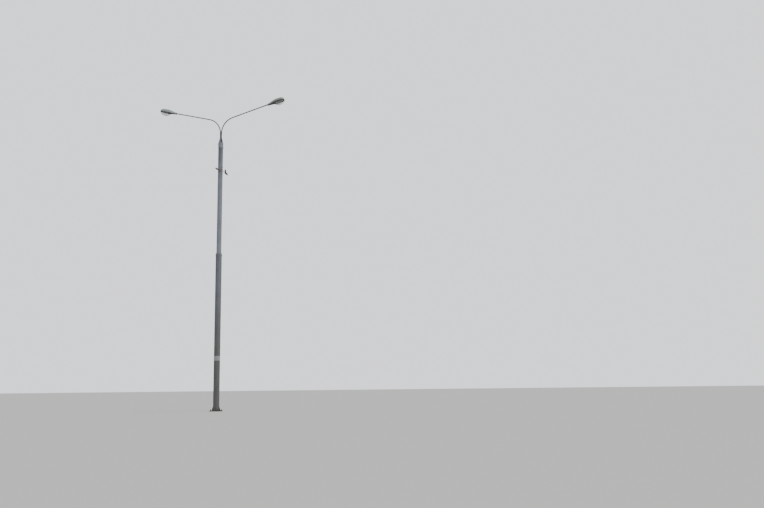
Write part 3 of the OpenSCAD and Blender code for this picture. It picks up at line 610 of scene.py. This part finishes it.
def rolled_reflector(look):
    """Bright-rolled aluminium sheet, anodised: a soft mirror with rolling lines, dulled in clouds."""
    made, add, place = start_finish("anodised_reflector_sheet")
    # Rolling lines, drawn 2 mm apart so that they show
    lines = rain_runs(add, place, 2, 50, 0)
    cloud = add("TexNoise", at_size(place, 60, Detail=3))
    dulled = add("MapRange", {0: cloud, 1: 0.35, 2: 0.7})
    return finish_off(made, (look.reflector, (dulled, look.reflector_dull)), lines, 0.05, {
        "Metallic": 1.0, "Roughness": add("MapRange", {0: cloud, 1: 0.3, 2: 0.7, 3: 0.44, 4: 0.56})})


def weathered_sheet(look):
    """Plain aluminium sheet, cut with shears and wrapped by hand: oxidised to a whitish grey, smeared, with
    darker runs from its top edge."""
    made, add, place = start_finish("oxidised_aluminium_sheet")
    cloud = add("TexNoise", at_size(place, 45, Detail=5, Roughness=0.6))
    runs = add("MapRange", {0: rain_runs(add, place, 9, 12), 1: 0.5, 2: 0.68, 4: 0.5})
    return finish_off(made, (
        look.plate, (add("MapRange", {0: cloud, 1: 0.36, 2: 0.66}), look.plate_dull), (runs, "#8b8c8b"),
    ), cloud, 0.2, {
        "Metallic": 0.3, "Roughness": add("MapRange", {0: cloud, 1: 0.3, 2: 0.7, 3: 0.42, 4: 0.62})})


def pressed_glass(look):
    """Clear soda glass, pressed in a mould: its waves bend what is behind it. Dust has settled in the bottom
    and leaves it milky there."""
    made, add, place = start_finish("pressed_clear_glass")
    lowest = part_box("left_glass_bowl")[0].z
    at = add("SeparateXYZ", {"Vector": place}).outputs
    mottle = add("TexNoise", at_size(place, 22, Detail=4))
    dust = add("MapRange", {0: at["Z"], 1: lowest + 0.12, 2: lowest, 3: 0.04, 4: add("MapRange", {
        0: mottle, 1: 0.3, 2: 0.75, 3: 0.14, 4: 0.32})})
    # Slow waves of the pressing, 30 mm apart
    waves = add("TexNoise", at_size(place, 30, Detail=1))
    return finish_off(made, (look.glass, (dust, look.dust)), waves, 0.06, {
        "Transmission Weight": add("MapRange", {0: dust, 3: 1.0, 4: 0.0}),
        "Roughness": add("MapRange", {0: dust, 3: 0.03, 4: 0.6}), "IOR": 1.52})


def clouded(name, bright, dull, wide_mm, detail, span, depth_mm, shader):
    """Even material that changes only in faint clouds between two tones. span gives where the duller tone
    starts, where it is at its strongest, and how strong it gets."""
    made, add, place = start_finish(name)
    cloud = add("TexNoise", at_size(place, wide_mm, Detail=detail))
    mask = add("MapRange", {0: cloud, 1: span[0], 2: span[1], 4: span[2]})
    return finish_off(made, (bright, (mask, dull)), cloud, depth_mm, shader)


def drawn_metal(name, bright, dull, rough):
    """Wire or cap left as drawn: bare metal with fine lines along it, dulled in places."""
    made, add, place = start_finish(name)
    # Drawing lines, drawn 3 mm apart so that they show
    lines = rain_runs(add, place, 3, 10, 0)
    dulled = add("MapRange", {0: lines, 1: 0.35, 2: 0.7})
    return finish_off(made, (bright, (dulled, dull)), lines, 0.03, {
        "Metallic": 1.0,
        "Roughness": add("MapRange", {0: lines, 1: 0.3, 2: 0.7, 3: rough - 0.05, 4: rough + 0.1})})


FINISHES = {}

# Packed solids that keep their shape, by the finish that they get
DRESSED = {
    "column": "base_flange base_ribs lower_tube shoulder_collar shoulder_cone",
    "upper": "upper_tube",
    "plate": "number_plate",
    "bracket": "head_sleeve head_cap head_gussets",
    "left_arm": "left_arm",
    "right_arm": "right_arm",
    "rust": "anchor_bands",
    "saddle": "near_anchor_bracket far_anchor_bracket",
    "link": "near_clamp_bail far_clamp_bail",
    # The near and far clamp bodies get a lit and a shaded copy of one casting: painted light on the near one, painted
    # shade on the far one
    "near_clamp": "near_clamp_body",
    "clamp": "far_clamp_body",
    "casting": "left_base right_base",
    "reflector": "left_bulkhead right_bulkhead",
    "rubber": "left_neck_seal right_neck_seal",
    "porcelain": "left_lampholder right_lampholder",
    "frame": "left_bowl_frame right_bowl_frame",
    "fitting": "left_spigot_clamp right_spigot_clamp left_hinge_rod right_hinge_rod left_bowl_latch right_bowl_latch",
}


class LIGHTCOL_OT_finishes(bpy.types.Operator):
    """Makes the finishes and puts them on the packed solids"""
    bl_idname = "lightcol.finishes"
    bl_label = "Finishes"

    def execute(self, context):
        look, lamp = context.scene.column_finish, context.scene.lantern_finish
        FINISHES.update(
            column=column_enamel("grey_enamel_on_steel_tube", look, look.coat, look.coat_dark),
            upper=column_enamel("clean_enamel_on_steel_tube", look, look.coat_high, look.coat_high_dark),
            bracket=dulled_zinc("galvanised_bracket_steel", look.bracket, look.bracket_dark, 22, 0.55),
            fitting=dulled_zinc("galvanised_fitting_steel", "#7f8284", "#5b5c5a", 7, 0.5, 0.3),
            link=dulled_zinc("rust_tinged_link_steel", look.link, look.stain, 9, 0.7),
            bolts=dulled_zinc("galvanised_bolt_steel", "#7a7c7e", "#57534e", 6, 0.5, 0.3),
            rust=rusted_strap(look),
            left_arm=dulled_zinc("galvanised_arm_tube", look.arm, look.arm_patina, 22, 0.55),
            # The right arm gets a shaded copy of the left arm's zinc: its darker tones are painted shade
            right_arm=dulled_zinc("shaded_galvanised_arm_tube", look.arm_shaded, look.arm_shaded_patina, 22, 0.6),
            saddle=dulled_zinc("rust_tinged_saddle_steel", look.saddle, look.saddle_dark, 12, 0.7),
            # The two clamps are one galvanised casting: the near clamp's paler tones are painted light, and the far
            # clamp's darker tones are painted shade
            near_clamp=sand_cast("lit_galvanised_casting", "#83878a", "#6b6f72", "#8d8c88", 0.6),
            clamp=sand_cast("shaded_galvanised_casting", "#54585b", "#3e4143", "#63625e", 0.6),
            canopy=moulded_canopy(lamp),
            casting=sand_cast("painted_die_casting", lamp.casting, lamp.casting_dark, "#77756f", 0.5, 3.0, 0.2),
            frame=sand_cast("dark_painted_die_casting", lamp.frame, lamp.frame_dark, "#6a6862", 0.45, 3.0, 0.2),
            reflector=rolled_reflector(lamp),
            plate=weathered_sheet(look),
            # Moulded EPDM: dead matt black, greyed by dust
            rubber=clouded("moulded_black_rubber", "#1c1c1d", "#343433", 8, 3, (0.4, 0.7, 1), 0.15,
                           {"Roughness": 0.9}),
            # Porcelain, glazed and fired in a kiln: smooth and glossy, with faint clouds in its glaze
            porcelain=clouded("glazed_porcelain", "#dcd6c8", "#b9b3a5", 12, 3, (0.35, 0.7, 0.6), 0.05,
                              {"Roughness": 0.18, "IOR": 1.55}),
            # Alumina, pressed and sintered without a glaze: smooth, hard and duller than porcelain
            arc=clouded("sintered_alumina", "#e9e4d8", "#cfc6b2", 6, 3, (0.35, 0.7, 0.6), 0.05,
                        {"Roughness": 0.45, "IOR": 1.55}),
            bowl=pressed_glass(lamp),
            # Thin borosilicate tube, blown and sealed: clear, and faintly browned in clouds by years of burning
            bulb=clouded("blown_clear_glass", "#f4f6f4", "#e6e1d6", 40, 2, (0.4, 0.7, 1), 0.05,
                         {"Transmission Weight": 1.0, "Roughness": 0.02, "IOR": 1.47}),
            brass=drawn_metal("turned_brass", "#b08d4f", "#7d6a45", 0.35),
            wire=drawn_metal("drawn_steel_wire", "#b3b3b0", "#77746c", 0.3),
        )
        for finish, nodes in DRESSED.items():
            for node in nodes.split():
                materials = frame["nodes"][node].data.materials
                materials.clear()
                materials.append(FINISHES[finish])
        return {"FINISHED"}


class LIGHTCOL_OT_anchor_bolts(bpy.types.Operator):
    """Adds the anchor bolts, nuts and washers of the base flange"""
    bl_idname = "lightcol.anchor_bolts"
    bl_label = "Anchor bolts"

    def execute(self, context):
        s = context.scene.fastener_sizes
        half_square, washer_t = 0.175, 5 * MM
        across, nut_h, nut_bore = 1.53 * s.anchor_d, 0.8 * s.anchor_d, s.anchor_d / 2 - 0.5 * MM
        for i, (x, y) in enumerate(((-1, -1), (1, -1), (1, 1), (-1, 1))):
            bm = bmesh.new()
            place = turned(moved(ORIGIN, x * half_square, y * half_square), 0.4 * i)
            threaded(bm, place, s.anchor_d, 1 * MM, s.anchor_l, s.anchor_pitch)
            washer(bm, moved(place, z=FLANGE_TOP), 0.93 * s.anchor_d, s.anchor_d / 2, washer_t)
            seat = FLANGE_TOP + washer_t
            hexagon(bm, moved(place, z=seat), across, nut_h, nut_bore)
            # The lock nut above is thinner and turned a little
            hexagon(bm, turned(moved(place, z=seat + nut_h), 0.35), across, 0.6 * nut_h, nut_bore)
            piece(f"anchor_bolt_{i + 1}", bm, "bolts")
        return {"FINISHED"}


class LIGHTCOL_OT_column_welds(bpy.types.Operator):
    """Adds the welds of the column: foot, ribs, collar and cone, and the tubes' long seams"""
    bl_idname = "lightcol.column_welds"
    bl_label = "Column welds"

    def execute(self, context):
        s = context.scene.fastener_sizes
        bm = bmesh.new()
        weld_ring(bm, moved(ORIGIN, z=FLANGE_TOP), LOWER_R, s.weld_leg, s.ripple)
        rib_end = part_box("base_ribs")[1]
        half_t = 6 * MM
        root = sqrt(LOWER_R ** 2 - half_t ** 2)
        for quarter in QUARTERS:
            stiffener_welds(bm, quarter, half_t, (
                ((LOWER_R + 6 * MM, FLANGE_TOP), (rib_end.x - 3 * MM, FLANGE_TOP)),
                ((root, FLANGE_TOP + 6 * MM), (root, rib_end.z - 4 * MM)),
            ), 0.75 * s.weld_leg, s.ripple)
        piece("foot_welds", bm, "column")

        bm = bmesh.new()
        weld_ring(bm, turned(moved(ORIGIN, z=COLLAR_LOW), pi, "X"), LOWER_R, 0.8 * s.weld_leg, s.ripple)
        weld_band(bm, COLLAR_R, COLLAR_TOP, ((-2, -5), (0, -4.5), (1.6, -2), (1.6, 2), (-1, 5), (-4, 5)), 3, s.ripple)
        piece("shoulder_welds", bm, "column")

        bm = bmesh.new()
        weld_ring(bm, moved(ORIGIN, z=CONE_TOP), UPPER_R, 0.6 * s.weld_leg, s.ripple)
        piece("cone_top_weld", bm, "upper")

        # The tubes' long seams are on the side away from the plate
        for name, r, low, high, angle in (
            ("lower", LOWER_R, FLANGE_TOP + 8 * MM, COLLAR_LOW - 6 * MM, 112),
            ("upper", UPPER_R, CONE_TOP + 8 * MM, SLEEVE_LOW - 5 * MM, 140),
        ):
            bm = bmesh.new()
            place = turned(ORIGIN, radians(angle))
            steps = int((high - low) / 0.04)
            rows = []
            for i in range(steps + 1):
                z = low + (high - low) * i / steps
                wide = (2.6 + 0.5 * sin(i * 1.7)) * MM
                rows.append([place @ Vector((r + proud * MM, wide * share, z)) for share, proud in (
                    (-1, -0.6), (-0.5, 0.55), (0, 0.8), (0.5, 0.55), (1, -0.6))])
            grid(bm, rows, ring=True, capped=True)
            piece(f"{name}_tube_seam", bm, "column" if name == "lower" else "upper")
        return {"FINISHED"}


class LIGHTCOL_OT_bracket_details(bpy.types.Operator):
    """Adds the bracket's welds, the sleeve's set screws and its drip edge"""
    bl_idname = "lightcol.bracket_details"
    bl_label = "Bracket details"

    def execute(self, context):
        s = context.scene.fastener_sizes
        bm = bmesh.new()
        arm_r, arm_x = 24 * MM, 24.35 * MM
        for way in (-1, 1):
            weld_ring(bm, moved(ORIGIN, way * arm_x, 0, CAP_TOP), arm_r, 0.75 * s.weld_leg, s.ripple)
        # Cap plate to sleeve
        weld_band(bm, SLEEVE_R, COLUMN_TOP, ((-1, -4), (0.6, -3), (1.3, 0), (0.6, 3), (-1, 4)), 3.5, s.ripple)
        # Two gussets stand against the arms, and two against the gap between them
        arm_root, gap_root, half_t = 48.65 * MM, 13.5 * MM, 4 * MM
        gusset_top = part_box("head_gussets")[1].z - 3 * MM
        for k, quarter in enumerate(QUARTERS):
            root = gap_root if k % 2 else arm_root
            runs = [((root, CAP_TOP), (SLEEVE_R - 6 * MM, CAP_TOP)), ((root, CAP_TOP), (root, gusset_top))]
            stiffener_welds(bm, quarter, half_t, runs[:1] if k % 2 else runs, 0.6 * s.weld_leg, s.ripple)
        # The seam between the two arms' stems is welded front and back above the gussets
        seam_low, bead, beads, off_middle = CAP_TOP + 260 * MM, 6 * MM, 26, 7.5 * MM
        for way in (-1, 1):
            rod(bm, [(0.25 * MM * sin(i * 2.1), way * off_middle, seam_low + bead * i) for i in range(beads)],
                lambda t: (6.2 + 0.5 * sin(t * 3 * beads)) * MM, 10)
        piece("bracket_welds", bm, "bracket")

        # Two rows of three set screws, each with its welded nut
        d, from_end = s.set_screw_d, 50 * MM
        for row, (z, first) in enumerate(((SLEEVE_LOW + from_end, 35), (COLUMN_TOP - from_end, 95))):
            bm = bmesh.new()
            for k in range(3):
                place = facing(radians(first + 120 * k), SLEEVE_R - 1.2 * MM, z)
                hexagon(bm, place, 1.6 * d, 0.85 * d, d / 2)
                screw = turned(place, 0.5 + k)
                threaded(bm, screw, d, 0, 1.35 * d, 1.75 * MM)
                hexagon(bm, moved(screw, z=1.25 * d), 1.6 * d, 0.63 * d)
            piece(f"sleeve_set_screws_{row + 1}", bm, "bolts")

        # Drip edge of mastic under the sleeve, smeared by hand outside its first millimetres
        bm = bmesh.new()
        bead = ((109.6, -6), (112.5, -5), (115.2, -1.5), (115.6, 0.5), (109.6, 1))
        revolve(bm, moved(ORIGIN, z=SLEEVE_LOW), [(r * MM, z * MM) for r, z in bead], 144, lambda r, a, z: (
            r + (0.5 * MM * sin(5 * a) + 0.3 * MM * sin(13 * a) if r > 112 * MM else 0)), closed=True)
        piece("sleeve_mastic", bm, "rubber")
        return {"FINISHED"}


class LIGHTCOL_OT_plate_rivets(bpy.types.Operator):
    """Adds the rivets of the wrapped plate"""
    bl_idname = "lightcol.plate_rivets"
    bl_label = "Plate rivets"

    def execute(self, context):
        low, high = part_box("number_plate")
        edge, middle = 14 * MM, (low.z + high.z) / 2
        half_h = (high.z - low.z) / 2 - edge
        # The plate's middle, and the rivets' angle from it, 6 degrees inside the plate's end
        plate_turn, half_angle = -65, 69
        r, flat, rise = 5 * MM, 0.5 * MM, 2.2 * MM
        head = [(r, 0), (r, flat)] + [(r * cos(radians(b)), flat + rise * sin(radians(b))) for b in (20, 40, 60, 80)]
        bm = bmesh.new()
        for angle in (-half_angle, 0, half_angle):
            for z in (middle - half_h, middle + half_h):
                revolve(bm, facing(radians(plate_turn + angle), LOWER_R + 2.1 * MM, z), head, 24)
        piece("plate_rivets", bm, "fitting")
        return {"FINISHED"}


class LIGHTCOL_OT_canopies(bpy.types.Operator):
    """Makes the lanterns' canopies: lofted shells with a lip and two stiffening ribs, their seals and screws"""
    bl_idname = "lightcol.canopies"
    bl_label = "Canopies"

    def execute(self, context):
        s = sizes()
        arch_steps, us, edge_w = 56, stations(44, 26), -s.edge_drop
        lip_h, lip = 9 * MM, 1.2 * MM
        # The ribs' height and half their width, where they lie over the arch, and where they end along the canopy
        rib_h, rib_half, rib_angles, rib_ends = 2.4 * MM, 0.12, (pi * 0.36, pi * 0.64), (0.07, 0.7)

        def swell(u, rise, a, h):
            """How far the outside stands proud: the lip at the edge and the two ribs."""
            proud = lip * (1 - ease((rise * h - lip_h) / (2 * MM)))
            t = u / s.lantern_l
            ends = ease((t - rib_ends[0]) / 0.08) * ease((rib_ends[1] - t) / 0.1)
            for centre in rib_angles:
                off = abs(a - centre) / rib_half
                proud += rib_h * ends * (cos(off * pi / 2) ** 2 if off < 1 else 0)
            return proud, proud * h

        grow, thick = 1.1 * MM, 1.6 * MM
        screw_u, screw_angle, screw_tilt = 62 * MM, 0.62, 0.5
        for side in SIDES:
            place = at_lantern(side)
            bm = bmesh.new()
            outer, inner = [], []
            for u in us:
                half, rise = canopy_half(u) - 0.2 * MM, canopy_rise(u) - 0.3 * MM
                back = s.canopy_t if u == us[-1] else 0
                outer.append(arch(place, u, half, rise, edge_w, arch_steps, lambda a, h: swell(u, rise, a, h)))
                inner.append(arch(place, u - back, half - s.canopy_t, rise - s.canopy_t, edge_w, arch_steps))
            shell(bm, outer, inner)
            piece(f"{side}_canopy_shell", bm, "canopy", f"{side}_canopy", sharp=SHELL_SHARP)

            # Seal squeezed out between canopy and casting
            bm = bmesh.new()
            rim = [u for u in stations(30, 18) if u > 2 * MM]
            half_path = [(u + (grow if u == rim[-1] else 0), canopy_half(u) + grow) for u in rim]
            path = half_path + [(u, -y) for u, y in reversed(half_path)]
            rod(bm, [place @ Vector((u, y, edge_w)) for u, y in path], thick, 8)
            piece(f"{side}_canopy_seal", bm, "rubber")

            # Two screws hold the canopy's rear down, in cup washers
            bm = bmesh.new()
            for way in (-1, 1):
                c, h = arch_at(pi / 2 - way * screw_angle)
                head = at_lantern(side, screw_u, canopy_half(screw_u) * c, edge_w + canopy_rise(screw_u) * h - 1 * MM)
                head = turned(head, -way * screw_tilt, "X")
                washer(bm, head, 9 * MM, 3 * MM, 1.6 * MM, 28)
                hexagon(bm, moved(head, z=1.4 * MM), 10 * MM, 5 * MM, steps=36)
            piece(f"{side}_canopy_screws", bm, "fitting")
        return {"FINISHED"}


class LIGHTCOL_OT_reflectors(bpy.types.Operator):
    """Makes the fluted reflectors above the lamps"""
    bl_idname = "lightcol.reflectors"
    bl_label = "Reflectors"

    def execute(self, context):
        s = sizes()
        steps, count, flutes, flute_depth = 96, 30, 24, 0.9 * MM
        overlap, tall, wall = 8 * MM, 105 * MM, 2 * MM
        low = -s.edge_drop - overlap
        half_l, half_w = s.bowl_l / 2 + overlap, s.bowl_w / 2 + overlap
        # The lampholder's end cuts the oval off 198 mm behind its middle
        first, last = asin(-198 * MM / half_l), TIP_TURN

        def flute(a, h):
            depth = -flute_depth * abs(sin(a * flutes)) * min(1.0, 4 * sin(a))
            return depth, depth

        for side in SIDES:
            place = at_lantern(side)
            bm = bmesh.new()
            skins = ([], [])
            for i in range(count + 1):
                off = half_l * sin(first + (last - first) * i / count)
                q = abs(off) / half_l
                half, rise = half_w * blunt(q, OVAL_POWER), tall * blunt(q, 3)
                for skin, cut, back in zip(skins, (0.2 * MM, wall), (0, wall if i == count else 0)):
                    skin.append(arch(place, mid_u() + off - back, half - cut, rise - cut, low, steps, flute))
            shell(bm, *skins)
            piece(f"{side}_fluted_reflector", bm, "reflector", f"{side}_reflector",
                  sharp=SHELL_SHARP)
        return {"FINISHED"}


class LIGHTCOL_OT_lamps(bpy.types.Operator):
    """Makes the tubular lamps: clear bulb, arc tube, its wires and a threaded cap"""
    bl_idname = "lightcol.lamps"
    bl_label = "Lamps"

    def execute(self, context):
        # Where the lamp's contact is, 15 mm in front of the hinge and 5 mm above the arm's centreline
        contact_u, contact_w = hinge_u() + 15 * MM, 5 * MM
        cap_l, cap_r, thread, pitch, cap_rows = 40 * MM, 19.4 * MM, 1.6 * MM, 6.35 * MM, 46
        bulb_r, bulb_l, wall, neck_z = 23.3 * MM, 245 * MM, 1 * MM, cap_l + 2 * MM
        dome_z = neck_z + bulb_l
        arc_low, arc_l, arc_r, pin_r = neck_z + 62 * MM, 118 * MM, 4.6 * MM, 1.2 * MM
        arc_top = arc_low + arc_l
        # The wires start in the cap; the longer one passes 15 mm beside the arc tube and bends over its top
        foot_z, away, top, wire_r = cap_l - 1 * MM, 15 * MM, dome_z + 4 * MM, 1 * MM
        ring_r, ring_z = 13.5 * MM, neck_z + 30 * MM

        # The bulb's neck reaches into the cap
        outside = [(16 * MM, cap_l - 3 * MM), (17 * MM, neck_z + 4 * MM), (bulb_r - 2 * MM, neck_z + 11 * MM),
                   (bulb_r, neck_z + 18 * MM), (bulb_r, dome_z)]
        outside += [(bulb_r * cos(radians(b)), dome_z + bulb_r * sin(radians(b))) for b in range(10, 90, 8)]
        inside = [(r - wall, z - (wall if z > dome_z else 0)) for r, z in reversed(outside)]
        arc_end = [(pin_r, -9 * MM), (pin_r, -1 * MM), (arc_r - 1 * MM, 0), (arc_r, 2 * MM)]
        arc = [(r, arc_low + z) for r, z in arc_end] + [(r, arc_top - z) for r, z in reversed(arc_end)]
        cap = [(3 * MM, 0), (8 * MM, 1 * MM), *(
            (cap_r, 4 * MM + (cap_l - 6 * MM) * i / cap_rows) for i in range(cap_rows + 1)), (16 * MM, cap_l)]
        for side in SIDES:
            axis = turned(at_lantern(side, contact_u, 0, contact_w), pi / 2, "Y")
            lamp = f"{side}_lamp"
            bm = bmesh.new()
            vessel(bm, rings(axis, outside, 56), rings(axis, inside, 56))
            piece(f"{side}_lamp_bulb", bm, "bulb", lamp)

            bm = bmesh.new()
            revolve(bm, axis, arc, 24)
            piece(f"{side}_arc_tube", bm, "arc", lamp)

            bm = bmesh.new()
            rod(bm, [axis @ Vector((x, 0, z)) for x, z in (
                (away, foot_z), (away, arc_low), (away, arc_top), (away, top - 10 * MM), (away * 0.6, top - 3 * MM),
                (0, top), (0, arc_top + 8 * MM))], wire_r, 10)
            rod(bm, [axis @ Vector((0, 0, z)) for z in (foot_z, arc_low - 8 * MM)], wire_r, 10)
            rod(bm, rings(axis, [(ring_r, ring_z)], 32)[0], 0.9 * MM, 8, ring=True)
            piece(f"{side}_lamp_wires", bm, "wire", lamp)

            bm = bmesh.new()
            revolve(bm, axis, cap, 40, lambda r, a, z: (
                r - thread * (0.5 + 0.5 * cos(TURN * (z / pitch) - a)) if r == cap_r else r))
            piece(f"{side}_lamp_cap", bm, "brass", lamp)
        return {"FINISHED"}


class LIGHTCOL_OT_bowls(bpy.types.Operator):
    """Makes the glass bowls, the screws that hold them in their frames, and the hinges' washers"""
    bl_idname = "lightcol.bowls"
    bl_label = "Bowls"

    def execute(self, context):
        s = sizes()
        around, down, dome_power, dome_turn = 96, 26, 2.2, radians(88.5)
        rim_w = -s.edge_drop - s.rim_h
        top, low = rim_w - 1.3 * MM, rim_w - 6 * MM
        # The glass lip's reach over the opening, and the gap between the opening and the glass
        lip, inset = 6.7 * MM, 0.3 * MM
        frame_low = rim_w - 1 * MM - s.frame_h
        screw_gap, hinge_end = 140 * MM, 84.4 * MM
        for side in SIDES:
            place = at_lantern(side)

            def row(grow, w, share=1):
                return oval(place, (s.bowl_l / 2 + grow) * share, (s.bowl_w / 2 + grow) * share, w, around)

            def dome(i, wall):
                a = dome_turn * i / down
                w = low - (s.bowl_depth - 0.3 * MM - wall) * sin(a) ** (2 / dome_power)
                return row(-inset - wall, w, cos(a) ** (2 / dome_power))

            bm = bmesh.new()
            vessel(bm, [row(lip, top), row(lip, low)] + [dome(i, 0.1 * MM) for i in range(down + 1)],
                   [dome(i, s.glass_t) for i in range(down, -1, -1)] + [row(-inset - s.glass_t, top)])
            swings = f"{side}_bowl"
            piece(f"{side}_pressed_bowl", bm, "bowl", f"{side}_glass_bowl", swings, SHELL_SHARP)

            bm = bmesh.new()
            for off in (-screw_gap, 0, screw_gap):
                for way in (-1, 1):
                    u = mid_u() + off
                    edge = s.bowl_w / 2 * blunt(abs(off) / (s.bowl_l / 2), OVAL_POWER)
                    below = at_lantern(side, u, way * (edge + canopy_half(u)) / 2, frame_low + 0.3 * MM)
                    below = turned(below, pi, "X")
                    washer(bm, below, 6.5 * MM, 2.5 * MM, 1.2 * MM, 24)
                    hexagon(bm, moved(below, z=1 * MM), 8 * MM, 4 * MM, steps=36)
            piece(f"{side}_frame_screws", bm, "fitting", body=swings)

            bm = bmesh.new()
            for way in (-1, 1):
                end = turned(at_lantern(side, hinge_u(), way * hinge_end, -s.hinge_w), -way * pi / 2, "X")
                washer(bm, end, 8 * MM, 4.2 * MM, 1.2 * MM, 28)
            piece(f"{side}_hinge_washers", bm, "fitting")
        return {"FINISHED"}


class LIGHTCOL_OT_clamp_keepers(bpy.types.Operator):
    """Adds the keepers of the tension clamps: U-bolts, bars and nuts"""
    bl_idname = "lightcol.clamp_keepers"
    bl_label = "Clamp keepers"

    def execute(self, context):
        # Turn of both clamps round the column, and how far out their saddles' eyes are
        clamp_turn, eye_reach = radians(5.3), 172 * MM
        bolt_r, bend, play = 4 * MM, 10 * MM, 4.2 * MM
        # Side, height of its eye, where its clamp starts from there, the clamp's length and fall, and its keepers
        for side, eye_z, start, long, fall, spots in (
            ("near", 10.705, 157.17, 270, 2, (70, 150)),
            ("far", 10.815, 487.17, 310, 4, (120, 200)),
        ):
            quarter = -pi / 2 if side == "near" else pi / 2
            eye = moved(turned(moved(ORIGIN, z=eye_z), quarter + clamp_turn), eye_reach)
            axis = moved(turned(eye, radians(fall), "Y"), start * MM)
            bm = bmesh.new()
            for spot in spots:
                # The clamp's body tapers from 70 by 54 mm to 44 by 38 mm
                t, x = spot / long, spot * MM
                half_y = (70 + (44 - 70) * t) / 2 * MM + play
                half_z = (54 + (38 - 54) * t) / 2 * MM
                half_bolt = [(-half_y, half_z + 14 * MM), (-half_y, 0)]
                half_bolt += [(-half_y + bend * (1 - cos(radians(b))), -half_z - play + bend * (1 - sin(radians(b))))
                              for b in range(0, 91, 15)]
                bolt = half_bolt + [(-y, z) for y, z in reversed(half_bolt)]
                rod(bm, [axis @ Vector((x, y, z)) for y, z in bolt], bolt_r)
                # Keeper bar across the top under the two nuts
                ends = half_y + 7 * MM
                rod(bm, [axis @ Vector((x, y, half_z + 3.5 * MM)) for y in (-ends, -half_y, 0, half_y, ends)],
                    lambda t: (3.6 + 0.8 * sin(pi * t)) * MM, 8)
                for y in (-half_y, half_y):
                    hexagon(bm, moved(axis, x, y, half_z + 6.5 * MM), 13 * MM, 6.5 * MM, 3.6 * MM, 36)
            piece(f"{side}_clamp_keepers", bm, "bolts")
        return {"FINISHED"}


class LIGHTCOL_OT_stage(bpy.types.Operator):
    """Sets the floor, the light and the camera"""
    bl_idname = "lightcol.stage"
    bl_label = "Stage"

    def execute(self, context):
        scene, look = context.scene, context.scene.stage_look
        floor_r, key_tilt, key_turn, key_colour = 900, radians(44), radians(80), "#fff6e8"
        bm = bmesh.new()
        bmesh.ops.create_circle(bm, cap_ends=True, segments=96, radius=floor_r)
        mesh = bpy.data.meshes.new("floor")
        bm.to_mesh(mesh)
        bm.free()
        floor = bpy.data.objects.new("floor", mesh)
        floor.location.z = -1 * MM
        screed = bpy.data.materials.new("pale_floor")
        screed.use_nodes = True
        tree = screed.node_tree
        # The floor shows paler than the light that it throws up, which keeps undersides dark as they are outdoors
        shown = add_node(tree, "LightPath").outputs["Is Camera Ray"]
        tone = add_node(tree, "Mix", {0: shown, 6: look.floor_light, 7: look.floor}, data_type="RGBA")
        tree.nodes["Principled BSDF"].inputs["Roughness"].default_value = 0.95
        tree.links.new(tone.outputs[2], tree.nodes["Principled BSDF"].inputs["Base Color"])
        mesh.materials.append(screed)
        scene.collection.objects.link(floor)

        world = bpy.data.worlds.new("pale_background")
        world.use_nodes = True
        world.node_tree.nodes.clear()
        add = partial(add_node, world.node_tree)
        # The backdrop shows paler than the light that it gives, as a lit studio wall does
        seen = add("LightPath").outputs
        clear = add("Math", {0: seen["Is Camera Ray"], 1: seen["Is Transmission Ray"]}, operation="MAXIMUM")
        glow = add("MapRange", {0: clear, 3: look.sky_light, 4: look.sky_strength})
        add("OutputWorld", {"Surface": add("Background", {"Color": look.sky, "Strength": glow})})
        scene.world = world

        sun = bpy.data.lights.new("key_light", "SUN")
        sun.energy, sun.angle = look.sun_strength, look.sun_spread
        sun.color = linear(key_colour)[:3]
        key = bpy.data.objects.new("key_light", sun)
        key.rotation_euler = (key_tilt, 0, key_turn)
        scene.collection.objects.link(key)

        # Camera fitted to the photograph: its place, its turn and pitch, its small tilt and its lens
        stand, turn, pitch, tilt, lens_mm = (16.898, -35.676, 0.908), radians(14.73), radians(8.68), 0.0105, 41.51
        ahead = Vector((-sin(turn) * cos(pitch), cos(turn) * cos(pitch), sin(pitch)))
        right = Vector((cos(turn), sin(turn), 0))
        up = right.cross(ahead)
        axes = Matrix((right * cos(tilt) - up * sin(tilt), right * sin(tilt) + up * cos(tilt), -ahead)).transposed()
        lens = bpy.data.cameras.new("camera")
        lens.sensor_width, lens.lens = 36, lens_mm
        lens.clip_start, lens.clip_end = 0.1, 3000
        camera = bpy.data.objects.new("camera", lens)
        camera.matrix_world = Matrix.Translation(stand) @ axes.to_4x4()
        scene.collection.objects.link(camera)
        scene.camera = camera
        return {"FINISHED"}


OPERATORS = (
    LIGHTCOL_OT_finishes, LIGHTCOL_OT_anchor_bolts, LIGHTCOL_OT_column_welds, LIGHTCOL_OT_bracket_details,
    LIGHTCOL_OT_plate_rivets, LIGHTCOL_OT_canopies, LIGHTCOL_OT_reflectors, LIGHTCOL_OT_lamps,
    LIGHTCOL_OT_bowls, LIGHTCOL_OT_clamp_keepers, LIGHTCOL_OT_stage,
)


class LIGHTCOL_PT_panel(bpy.types.Panel):
    """Lists the column's sizes, finishes and steps"""
    bl_idname = "LIGHTCOL_PT_panel"
    bl_label = "Lighting column"
    bl_space_type = "VIEW_3D"
    bl_region_type = "UI"
    bl_category = "Lighting column"

    def draw(self, context):
        layout = self.layout
        for name, group in GROUPS.items():
            box = layout.box()
            box.label(text=group.__doc__)
            for key in group.__annotations__:
                box.prop(getattr(context.scene, name), key)
        for operator in OPERATORS:
            layout.operator(operator.bl_idname)


CLASSES = (*GROUPS.values(), *OPERATORS, LIGHTCOL_PT_panel)


def register():
    for cls in CLASSES:
        bpy.utils.register_class(cls)
    for name, group in GROUPS.items():
        setattr(bpy.types.Scene, name, bpy.props.PointerProperty(type=group))


def unregister():
    for name in GROUPS:
        delattr(bpy.types.Scene, name)
    for cls in reversed(CLASSES):
        bpy.utils.unregister_class(cls)


def main():
    register()
    for operator in OPERATORS:
        getattr(bpy.ops.lightcol, operator.bl_idname.split(".")[1])()


if __name__ == "__main__":
    main()
